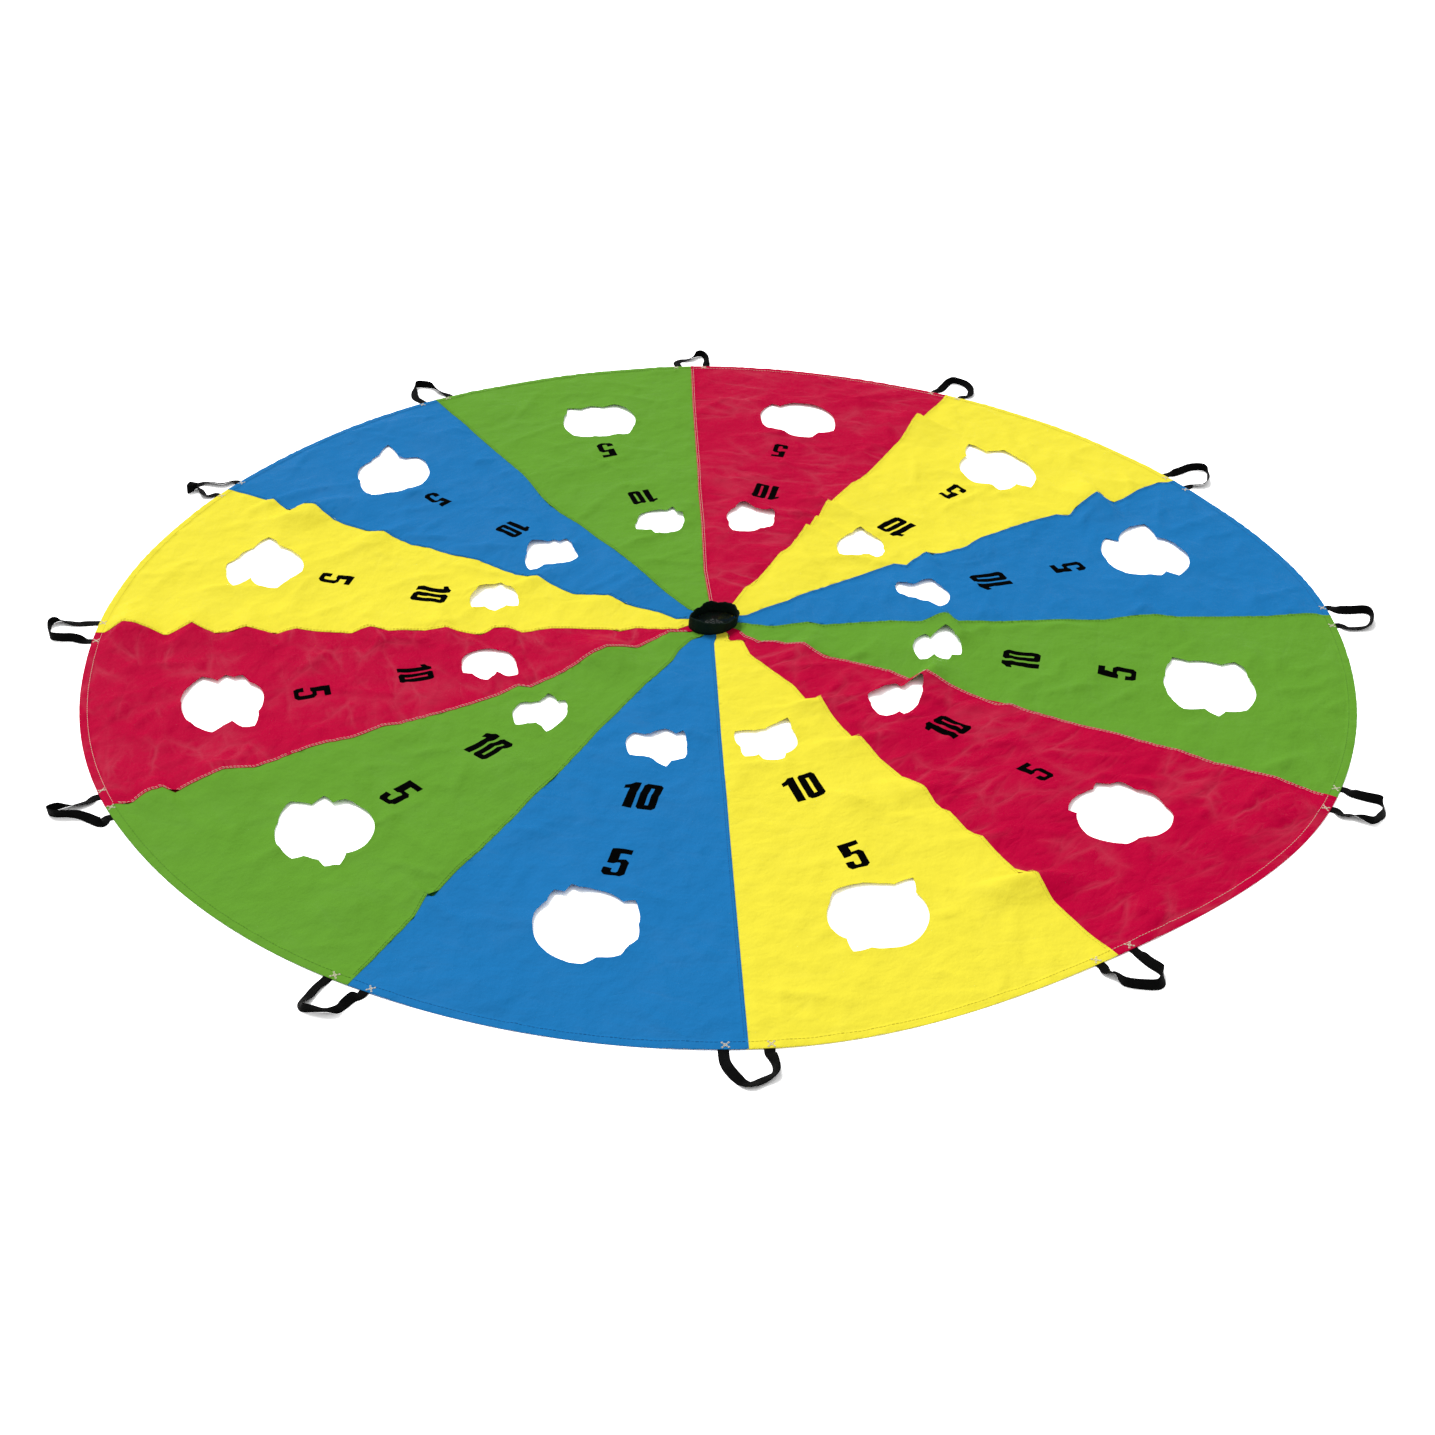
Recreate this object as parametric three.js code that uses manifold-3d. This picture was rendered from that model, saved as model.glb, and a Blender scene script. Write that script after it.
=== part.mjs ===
// A toy play parachute, laid out on the floor: a round canopy of twelve coloured gores with target
// holes, a webbing collar round a netted vent, and a webbing handle at the rim end of every seam.
// Millimetres, +Z up. The origin is the centre of the vent, on the floor that the canopy lies on.
import * as THREE from 'three';
import { mergeVertices } from 'three/addons/utils/BufferGeometryUtils.js';
import Module from 'manifold-3d';

const wasm = await Module();
wasm.setup();

// Canopy
const canopyRadius = 1750;
const goreCount = 12;
const clothThickness = 0.8;
const seamGap = 0.3;
const hemWidth = 25;
const rimStripShares = [0.36, 0.64];
const goreTurn = 2 * Math.PI / goreCount;
const firstSeamAngle = -Math.PI / 2;
const goreColours = ['yellow', 'red', 'green', 'blue'];

// How far each seam reaches at the rim, as shares of the canopy's radius: the cloth lies a little uneven.
const seamReachShares = [1.009, 0.979, 1.012, 1.011, 0.989, 0.995, 1.014, 1.005, 0.989, 0.991, 1.001, 1.006];

// Folds across the seams. Each seam has a station at every fold spacing, the first one and a half spacings
// from the centre and the last at the rim. Its shares say how far the seam is drawn anticlockwise there, and
// how high it stands.
const foldSpacing = 100;
const foldHeight = 12;
const foldDrift = 50;
const foldLength = 170;
const firstStation = 1.5;
const driftShares = [
  [-0.16, -0.16, -0.14, -0.14, -0.14, -0.16, -0.12, -0.1, -0.06, -0.02, 0, 0.02, 0.06, 0.08, 0.1, 0.1, 0.12],
  [0.06, -0.14, 0, 0.14, 0.32, 0, 0.12, -0.06, 0.14, 0.06, 0.14, 0.22, -0.08, 0.4, -0.06, -0.1, 0],
  [-0.58, 0.16, -0.26, -0.04, -0.04, 0.68, 0.1, -0.28, 0, 0.04, -0.02, 0.14, 0.08, -0.12, 0.1, 0.06, -0.18],
  [-0.48, -0.16, -0.48, -0.2, -0.16, 0.36, -0.3, -0.16, -0.08, -0.1, 0.12, 0.14, 0, 0.06, 0.08, 0.18, -0.08],
  [-0.16, -0.02, 0.12, 0.16, 0.18, -0.1, 0.1, -0.4, -0.18, -0.04, -0.04, 0.02, 0.16, 0.64, -0.4, -0.14, -0.4],
  [0.06, 0.06, 0.02, 0.14, 0.16, 0.28, 0.24, 0.2, 0.22, 0.14, 0.1, 0.1, 0.22, 0.4, 0.24, 0.26, 0.18],
  [0.1, 0.22, 0.28, 0.26, 0.24, 0.2, 0.28, 0.28, 0.26, 0.24, 0.24, 0.22, 0.24, 0.28, 0.26, 0.24, 0.22],
  [0.32, 0.36, 0.4, 0.42, 0.46, 0.58, 0.84, 0.94, 0.78, 0.56, 0.5, 0.46, 0.4, 0.36, 0.28, 0.18, 0.32],
  [0.28, 0.4, 0.2, 0.82, 0.3, 0.58, 0.32, 0.36, 0.26, 0.48, 0.08, 0.48, 0.04, -0.54, -0.1, 0, 0.02],
  [0.44, 0.56, 0.42, 0.44, 0.56, 0.66, 0.24, 0.5, 0.48, 0.44, 0.28, 0.5, 0.24, -0.12, 0.44, -0.34, 0.04],
  [-0.4, -0.06, -0.54, -0.1, 0.28, 0.2, 0.18, 0.06, 0.12, -0.16, -0.22, -0.2, -0.18, -0.54, -0.34, -0.56, -0.76],
  [-0.32, -0.24, -0.28, -0.25, -0.32, -0.27, -0.22, -0.1, -0.06, -0.02, 0, 0.08, 0.06, -0.06, 0.14, 0.2, 0.26],
];
const riseShares = [
  [0, 0, 0, 0, 0, 0, 0, 0, 0, 0, 0, 0, 0, 0, 0, 0, 0],
  [0, 0, 0, 0, 0.8, 0, 0.5, 0, 0.5, 0, 0.1, 0.5, 0, 0.9, 0, 0, 0],
  [0, 0.5, 0, 0, 0, 0.9, 0.1, 0, 0, 0, 0, 0.1, 0.2, 0, 0.2, 0, 0],
  [0, 0.1, 0, 0, 0, 0.9, 0, 0, 0, 0, 0.2, 0.5, 0, 0, 0, 0, 0],
  [0, 0, 0, 0, 0, 0, 0.5, 0, 0, 0, 0, 0, 0.3, 0.9, 0, 0, 0],
  [0, 0, 0, 0.4, 0.1, 0.5, 0.5, 0, 0.4, 0, 0, 0, 0, 0.9, 0, 0, 0],
  [0, 0, 0, 0, 0, 0, 0, 0, 0, 0, 0, 0, 0, 0, 0, 0, 0],
  [0, 0, 0, 0, 0, 0, 0, 0, 0, 0, 0, 0, 0, 0, 0, 0, 0],
  [0, 0, 0.2, 0, 0.1, 0, 0, 0, 0, 0, 0.4, 0, 0.5, 0.9, 0.1, 0, 0],
  [0, 0, 0, 0, 0, 0, 0.5, 0, 0.1, 0, 0.5, 0, 0.3, 0.9, 0, 0.9, 0],
  [0.3, 0, 0.8, 0, 0, 0, 0, 0, 0, 0.3, 0, 0, 0, 0.7, 0, 0.4, 0],
  [0.2, 0, 0.1, 0.4, 0.3, 0.4, 0, 0, 0, 0, 0, 0, 0, 0.1, 0, 0, 0],
];

// Target holes. No two are cut in quite the same place: for each gore, its outer hole's shift outwards
// and sideways, then its inner hole's, as shares of the shift.
const outerHoleRadius = 122;
const outerHoleInset = 380;
const outerHolePlace = canopyRadius - outerHoleInset;
const innerHoleRadius = 72;
const holeSpacing = 732;
const innerHolePlace = outerHolePlace - holeSpacing;
const outerHoleSides = 24;
const innerHoleSides = 16;
const holeShift = 50;
const holeShiftShares = [
  [0.05, -0.4, -0.5, -0.7], [-0.2, 0.45, -0.3, 0.85], [-0.4, -0.1, -0.4, 0.6], [-0.1, 0.5, 0.05, 0],
  [-0.15, 0.1, 0.35, -0.05], [-0.15, 0.5, -0.05, 0.6], [-0.3, -0.4, -0.3, -0.6], [0.5, 0.4, 0.2, 0.6],
  [0.4, -0.35, 0.45, -0.1], [0.3, 0.35, 0.4, 0.45], [-0.1, -0.5, 0.15, -0.4], [-0.2, 0.3, -0.3, 0],
];
const cutOverrun = 60;

// Webbing handles
const webbingWidth = 25;
const webbingThickness = 1.6;
const webbingGap = 0.3;
const handleOpeningHalf = 37;
const handleReach = 88;
const handleTab = 12;
const handleTilt = 50 * Math.PI / 180;
const handleSquareShare = 0.7;
const handleSteps = 22;
const hingeGap = 0.4;
const stripInset = 2;
const stripMargin = 14;
const stripFall = 110;
const stripHalf = handleOpeningHalf + webbingWidth;

// Collar and net over the vent
const collarRadius = 68;
const collarHeight = 34;
const collarThickness = 2;
const collarWaveShares = [[2, 0.07, 0.4], [3, 0.05, 2.1], [5, 0.025, 1.2]];
const collarDipShares = [[2, 0.05, 2.6], [4, 0.04, 0.5]];
const collarSteps = 48;
const collarWaveShare = collarWaveShares.reduce((sum, [, share]) => sum + share, 0);
const collarSeatRadius = collarRadius * (1 + collarWaveShare) + collarThickness;
const tipReach = 24;
const netThickness = 1.2;
const netGapSize = 16;
const netPitch = 21;
const netRim = 5;

// Materials
const clothMaterials = {
  yellow: new THREE.MeshStandardMaterial({ color: '#fbec48', roughness: 0.6, metalness: 0 }),
  red: new THREE.MeshStandardMaterial({ color: '#c3083b', roughness: 0.5, metalness: 0 }),
  green: new THREE.MeshStandardMaterial({ color: '#6fa838', roughness: 0.6, metalness: 0 }),
  blue: new THREE.MeshStandardMaterial({ color: '#2f80c6', roughness: 0.6, metalness: 0 }),
};
const webbingMaterial = new THREE.MeshStandardMaterial({ color: '#151716', roughness: 0.8, metalness: 0 });
const collarMaterial = new THREE.MeshStandardMaterial({ color: '#10241f', roughness: 0.8, metalness: 0 });
const netMaterial = new THREE.MeshStandardMaterial({ color: '#d8cfae', roughness: 0.8, metalness: 0 });

const seamAngle = (seam) => firstSeamAngle + (seam - 1) * goreTurn;
const bell = (x) => (Math.abs(x) < 1 ? Math.cos(x * Math.PI / 2) ** 2 : 0);
const ramp = (x) => Math.min(1, Math.max(0, x));
const turnFrom = (angle, other) => Math.atan2(Math.sin(angle - other), Math.cos(angle - other));

// The rim's reach at an angle, blended smoothly from seam to seam.
function rimReach(angle) {
  const seams = (angle - firstSeamAngle) / goreTurn;
  const low = Math.floor(seams);
  const blend = (1 - Math.cos((seams - low) * Math.PI)) / 2;
  const share = (seam) => seamReachShares[((seam % goreCount) + goreCount) % goreCount];
  return share(low) * (1 - blend) + share(low + 1) * blend;
}

// How high the hem lies on the handles' strips under it.
function stripLift(radius, angle) {
  const nearest = Math.round((angle - firstSeamAngle) / goreTurn) * goreTurn + firstSeamAngle;
  const aside = Math.abs(turnFrom(angle, nearest)) * radius;
  const across = ramp(1 - (aside - stripHalf - 2 * stripMargin) / stripFall);
  const inward = canopyRadius - radius - hemWidth - clothThickness;
  const along = ramp(1 - inward / (foldSpacing - hemWidth - clothThickness));
  return (webbingThickness + webbingGap) * across * along;
}

// A seam's share at a radius, between those of the two stations beside it.
function stationShare(shares, radius) {
  const place = Math.max(0, radius / foldSpacing - firstStation);
  const low = Math.min(Math.floor(place), shares.length - 2);
  return shares[low] + (shares[low + 1] - shares[low]) * (place - low);
}

// Where a point of the flat cut cloth comes to lie: folds lift it and draw it sideways, but not at the collar.
function layCloth(radius, angle) {
  const settled = ramp((radius - collarSeatRadius) / collarRadius);
  const reach = Math.min(foldLength, radius * goreTurn);
  let rise = stripLift(radius, angle);
  let drift = 0;
  for (let seam = 1; seam <= goreCount; seam += 1) {
    const fold = settled * bell(turnFrom(angle, seamAngle(seam)) * radius / reach);
    rise += foldHeight * stationShare(riseShares[seam - 1], radius) * fold;
    drift += foldDrift * stationShare(driftShares[seam - 1], radius) * fold;
  }
  const out = radius * rimReach(angle);
  return new THREE.Vector3(
    out * Math.cos(angle) - drift * Math.sin(angle),
    out * Math.sin(angle) + drift * Math.cos(angle),
    rise,
  );
}

// A closed solid between two grids of points, the upper and the lower side of one sheet.
function sheetSolid(lower, upper) {
  const rows = lower.length;
  const columns = lower[0].length;
  const positions = [];
  for (const side of [lower, upper]) {
    for (const row of side) {
      for (const point of row) positions.push(point.x, point.y, point.z);
    }
  }
  const index = (side, row, column) => side * rows * columns + row * columns + column;
  const triangles = [];
  const quad = (a, b, c, d) => triangles.push(a, b, c, a, c, d);
  for (let row = 0; row < rows - 1; row += 1) {
    for (let column = 0; column < columns - 1; column += 1) {
      quad(index(1, row, column), index(1, row + 1, column), index(1, row + 1, column + 1), index(1, row, column + 1));
      quad(index(0, row, column), index(0, row, column + 1), index(0, row + 1, column + 1), index(0, row + 1, column));
    }
  }
  const last = columns - 1;
  for (let row = 0; row < rows - 1; row += 1) {
    quad(index(0, row, 0), index(0, row + 1, 0), index(1, row + 1, 0), index(1, row, 0));
    quad(index(0, row + 1, last), index(0, row, last), index(1, row, last), index(1, row + 1, last));
  }
  const end = rows - 1;
  for (let column = 0; column < columns - 1; column += 1) {
    quad(index(0, 0, column + 1), index(0, 0, column), index(1, 0, column), index(1, 0, column + 1));
    quad(index(0, end, column), index(0, end, column + 1), index(1, end, column + 1), index(1, end, column));
  }
  return closedGeometry(positions, triangles);
}

function closedGeometry(positions, triangles) {
  const geometry = new THREE.BufferGeometry();
  geometry.setAttribute('position', new THREE.Float32BufferAttribute(positions, 3));
  geometry.setIndex(triangles);
  return geometry;
}

function toManifold(geometry) {
  const bare = geometry.clone();
  bare.deleteAttribute('normal');
  bare.deleteAttribute('uv');
  const merged = mergeVertices(bare);
  const vertProperties = new Float32Array(merged.attributes.position.array);
  const triVerts = new Uint32Array(merged.index.array);
  return new wasm.Manifold(new wasm.Mesh({ numProp: 3, vertProperties, triVerts }));
}

function fromManifold(solid) {
  const mesh = solid.getMesh();
  return closedGeometry(Array.from(mesh.vertProperties), Array.from(mesh.triVerts));
}

// Where a hole's middle comes to lie, from its place along the gore and its two shifts off it.
function holeCentre(gore, place, outShare, asideShare) {
  const out = place + holeShift * outShare;
  const aside = holeShift * asideShare;
  return layCloth(Math.hypot(out, aside), seamAngle(gore) + goreTurn / 2 + Math.atan2(aside, out));
}

// An upright cutter for a round hole.
function holeCutter(centre, radius, sides, angle) {
  const cutter = new THREE.CylinderGeometry(radius, radius, foldHeight + 2 * cutOverrun, sides);
  cutter.rotateX(Math.PI / 2);
  cutter.rotateZ(angle);
  cutter.translate(centre.x, centre.y, 0);
  return toManifold(cutter);
}

// The radii of a gore's rows: its tip, the collar, the stations and the hem's edges.
function goreRows() {
  const stations = driftShares[0].map((share, place) => (place + firstStation) * foldSpacing);
  const inner = [collarRadius - tipReach, collarSeatRadius, ...stations.slice(0, -1)];
  return [...inner, canopyRadius - hemWidth - clothThickness, canopyRadius - hemWidth, canopyRadius];
}

// One gore: a sheet from the vent to the hem, with the hem turned over and two target holes.
function goreGeometry(gore) {
  const start = seamAngle(gore);
  const stripShare = (stripHalf + stripMargin) / (canopyRadius * goreTurn);
  const shares = [0, stripShare, ...rimStripShares, 1 - stripShare, 1];
  const lower = [];
  const upper = [];
  for (const radius of goreRows()) {
    const span = goreTurn - seamGap / radius;
    const layers = radius >= canopyRadius - hemWidth ? 2 : 1;
    const under = shares.map((share) => layCloth(radius, start + seamGap / 2 / radius + span * share));
    lower.push(under);
    upper.push(under.map((point) => point.clone().setZ(point.z + layers * clothThickness)));
  }
  const middle = start + goreTurn / 2;
  const sheet = toManifold(sheetSolid(lower, upper));
  const [outerOut, outerAside, innerOut, innerAside] = holeShiftShares[gore - 1];
  const outerCentre = holeCentre(gore, outerHolePlace, outerOut, outerAside);
  const innerCentre = holeCentre(gore, innerHolePlace, innerOut, innerAside);
  const outerHole = holeCutter(outerCentre, outerHoleRadius, outerHoleSides, middle);
  const innerHole = holeCutter(innerCentre, innerHoleRadius, innerHoleSides, middle);
  return fromManifold(sheet.subtract(outerHole).subtract(innerHole));
}

// A flat band swept along stations, each with its inner lower edge, width direction and thickness direction.
function bandGeometry(stations, width, thickness, closed) {
  const positions = [];
  for (const { edge, across, up, height = width } of stations) {
    const far = edge.clone().addScaledVector(across, height);
    const corners = [edge, far, far.clone().addScaledVector(up, thickness), edge.clone().addScaledVector(up, thickness)];
    for (const corner of corners) positions.push(corner.x, corner.y, corner.z);
  }
  const count = stations.length;
  const triangles = [];
  const corner = (station, place) => (station % count) * 4 + place % 4;
  for (let station = 0; station < (closed ? count : count - 1); station += 1) {
    for (let place = 0; place < 4; place += 1) {
      const [a, b] = [corner(station, place), corner(station, place + 1)];
      const [c, d] = [corner(station + 1, place + 1), corner(station + 1, place)];
      triangles.push(a, c, b, a, d, c);
    }
  }
  if (!closed) {
    const end = (count - 1) * 4;
    triangles.push(0, 1, 2, 0, 2, 3, end, end + 2, end + 1, end, end + 3, end + 2);
  }
  return closedGeometry(positions, triangles);
}

// A handle's free loop, in a frame with +X outwards and Y along the rim. The strap leaves its tabs flat
// and tips up towards the bow like the side of a saucer, as flat webbing does when it is bent round.
function loopGeometry() {
  const soften = (x) => Math.sign(x) * Math.abs(x) ** handleSquareShare;
  const root = handleTab + hingeGap;
  const inner = (turn) => new THREE.Vector3(
    root + handleReach * soften(Math.sin(turn)),
    -handleOpeningHalf * soften(Math.cos(turn)),
    0,
  );
  const stations = [];
  for (let step = 0; step <= handleSteps; step += 1) {
    const turn = Math.PI * step / handleSteps;
    const sliver = Math.PI / handleSteps / 4;
    const along = inner(Math.min(Math.PI, turn + sliver)).sub(inner(Math.max(0, turn - sliver)));
    if (step === 0 || step === handleSteps) along.set(step === 0 ? 1 : -1, 0, 0);
    along.normalize();
    const aside = new THREE.Vector3(along.y, -along.x, 0);
    const tilt = handleTilt * Math.sin(turn) ** 2;
    const across = aside.clone().multiplyScalar(Math.cos(tilt)).setZ(Math.sin(tilt));
    const up = aside.clone().multiplyScalar(-Math.sin(tilt)).setZ(Math.cos(tilt));
    stations.push({ edge: inner(turn), across, up });
  }
  return bandGeometry(stations, webbingWidth, webbingThickness, false);
}

// The sewn part of a handle: a strip under the hem with two tabs that come out from under it.
function baseGeometry() {
  const back = stripInset - hemWidth;
  const outline = new THREE.Shape();
  outline.moveTo(back, -stripHalf);
  outline.lineTo(handleTab, -stripHalf);
  outline.lineTo(handleTab, -handleOpeningHalf);
  outline.lineTo(-stripInset, -handleOpeningHalf);
  outline.lineTo(-stripInset, handleOpeningHalf);
  outline.lineTo(handleTab, handleOpeningHalf);
  outline.lineTo(handleTab, stripHalf);
  outline.lineTo(back, stripHalf);
  return new THREE.ExtrudeGeometry(outline, { depth: webbingThickness, bevelEnabled: false });
}

// The collar's inner radius at an angle: a soft band that stands a little out of round.
function collarInner(angle) {
  const wave = collarWaveShares.reduce((sum, [count, share, phase]) => sum + share * Math.cos(count * angle + phase), 0);
  return collarRadius * (1 + wave);
}

function collarGeometry() {
  const stations = [];
  for (let step = 0; step < collarSteps; step += 1) {
    const angle = -2 * Math.PI * step / collarSteps;
    const dip = collarDipShares.reduce((sum, [count, share, phase]) => sum + share * Math.cos(count * angle + phase), 0);
    const outwards = new THREE.Vector3(Math.cos(angle), Math.sin(angle), 0);
    const edge = outwards.clone().multiplyScalar(collarInner(angle));
    stations.push({ edge, across: new THREE.Vector3(0, 0, 1), up: outwards, height: collarHeight * (1 + dip) });
  }
  return bandGeometry(stations, collarHeight, collarThickness, true);
}

// The net inside the collar: a flat sheet cut to the collar's shape, with a square mesh of gaps.
function netGeometry() {
  const outline = new THREE.Shape();
  for (let step = 0; step < collarSteps; step += 1) {
    const angle = 2 * Math.PI * step / collarSteps;
    const radius = collarInner(angle) - seamGap;
    outline[step === 0 ? 'moveTo' : 'lineTo'](radius * Math.cos(angle), radius * Math.sin(angle));
  }
  let net = toManifold(new THREE.ExtrudeGeometry(outline, { depth: netThickness, bevelEnabled: false }));
  const half = netGapSize / 2;
  const reach = Math.ceil(collarRadius / netPitch);
  for (let column = -reach; column <= reach; column += 1) {
    for (let row = -reach; row <= reach; row += 1) {
      const [x, y] = [column * netPitch, row * netPitch];
      const far = Math.hypot(Math.abs(x) + half, Math.abs(y) + half);
      if (far > collarInner(Math.atan2(y, x)) - netRim) continue;
      const gap = new THREE.BoxGeometry(netGapSize, netGapSize, netThickness + 2 * cutOverrun);
      net = net.subtract(toManifold(gap.translate(x, y, 0)));
    }
  }
  return fromManifold(net);
}

// A group whose frame sits on the floor at the rim end of a seam, with +X outwards.
function handleSeat(seam) {
  const angle = seamAngle(seam);
  const end = layCloth(canopyRadius, angle);
  const sliver = stripHalf / canopyRadius;
  const rim = layCloth(canopyRadius, angle + sliver).sub(layCloth(canopyRadius, angle - sliver));
  const seat = new THREE.Group();
  seat.position.set(end.x, end.y, 0);
  seat.rotation.z = Math.atan2(-rim.x, rim.y);
  return seat;
}

function addMesh(group, name, geometry, material) {
  const mesh = new THREE.Mesh(geometry, material);
  mesh.name = name;
  group.add(mesh);
  return mesh;
}

function buildParachute() {
  const parachute = new THREE.Group();
  for (let gore = 1; gore <= goreCount; gore += 1) {
    const colour = goreColours[(gore - 1) % goreColours.length];
    const number = String(gore).padStart(2, '0');
    addMesh(parachute, `gore_${number}_${colour}`, goreGeometry(gore), clothMaterials[colour]);
  }
  const loop = loopGeometry();
  const base = baseGeometry();
  for (let seam = 1; seam <= goreCount; seam += 1) {
    const number = String(seam).padStart(2, '0');
    const seat = handleSeat(seam);
    addMesh(seat, `handle_base_${number}`, base, webbingMaterial);
    addMesh(seat, `handle_loop_${number}`, loop, webbingMaterial);
    parachute.add(seat);
  }
  const ventTop = 2 * clothThickness;
  addMesh(parachute, 'centre_net', netGeometry(), netMaterial).position.z = ventTop;
  addMesh(parachute, 'centre_collar', collarGeometry(), collarMaterial).position.z = ventTop;
  return parachute;
}

const group = buildParachute();
export default group;
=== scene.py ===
"""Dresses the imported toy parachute: cloth gores with target holes and numbers, sewn seams and hems,
webbing handles, the collar and the net in the middle, and the stage that it lies on. Lengths are in
metres."""

import math
import random

import bpy
import numpy as np
from bpy.props import FloatProperty, FloatVectorProperty, PointerProperty
from mathutils import Matrix, Vector
from mathutils.geometry import delaunay_2d_cdt
from mathutils.kdtree import KDTree


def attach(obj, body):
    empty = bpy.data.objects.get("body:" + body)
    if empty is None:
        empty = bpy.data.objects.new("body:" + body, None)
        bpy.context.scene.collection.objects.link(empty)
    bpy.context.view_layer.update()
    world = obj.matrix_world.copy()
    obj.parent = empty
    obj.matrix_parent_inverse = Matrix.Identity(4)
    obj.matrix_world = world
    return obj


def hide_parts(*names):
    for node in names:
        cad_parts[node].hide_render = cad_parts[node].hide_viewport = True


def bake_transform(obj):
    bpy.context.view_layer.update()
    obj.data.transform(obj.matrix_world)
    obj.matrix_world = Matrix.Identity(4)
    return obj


bl_info = {
    "name": "Toy parachute",
    "version": (1, 0, 0),
    "blender": (4, 5, 0),
    "location": "3D View > Sidebar > Parachute",
    "description": "Makes a play parachute with target holes, laid out on the floor",
    "category": "Object",
}

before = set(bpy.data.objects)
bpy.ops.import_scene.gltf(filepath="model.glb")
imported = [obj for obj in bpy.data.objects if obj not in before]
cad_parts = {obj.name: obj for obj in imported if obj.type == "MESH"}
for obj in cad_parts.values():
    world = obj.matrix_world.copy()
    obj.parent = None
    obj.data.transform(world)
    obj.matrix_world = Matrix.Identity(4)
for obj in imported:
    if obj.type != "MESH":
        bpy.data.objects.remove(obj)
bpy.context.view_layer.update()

# The canopy's pattern: twelve gores, counted anticlockwise from the seam nearest the camera.
GORE_COUNT = 12
GORE_TURN = math.tau / GORE_COUNT
FIRST_SEAM_ANGLE = -math.pi / 2
COLOUR_NAMES = ("yellow", "red", "green", "blue")

# How far each seam reaches at the rim, as shares of the canopy's radius.
SEAM_REACH_SHARES = (1.009, 0.979, 1.012, 1.011, 0.989, 0.995, 1.014, 1.005, 0.989, 0.991, 1.001, 1.006)

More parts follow.
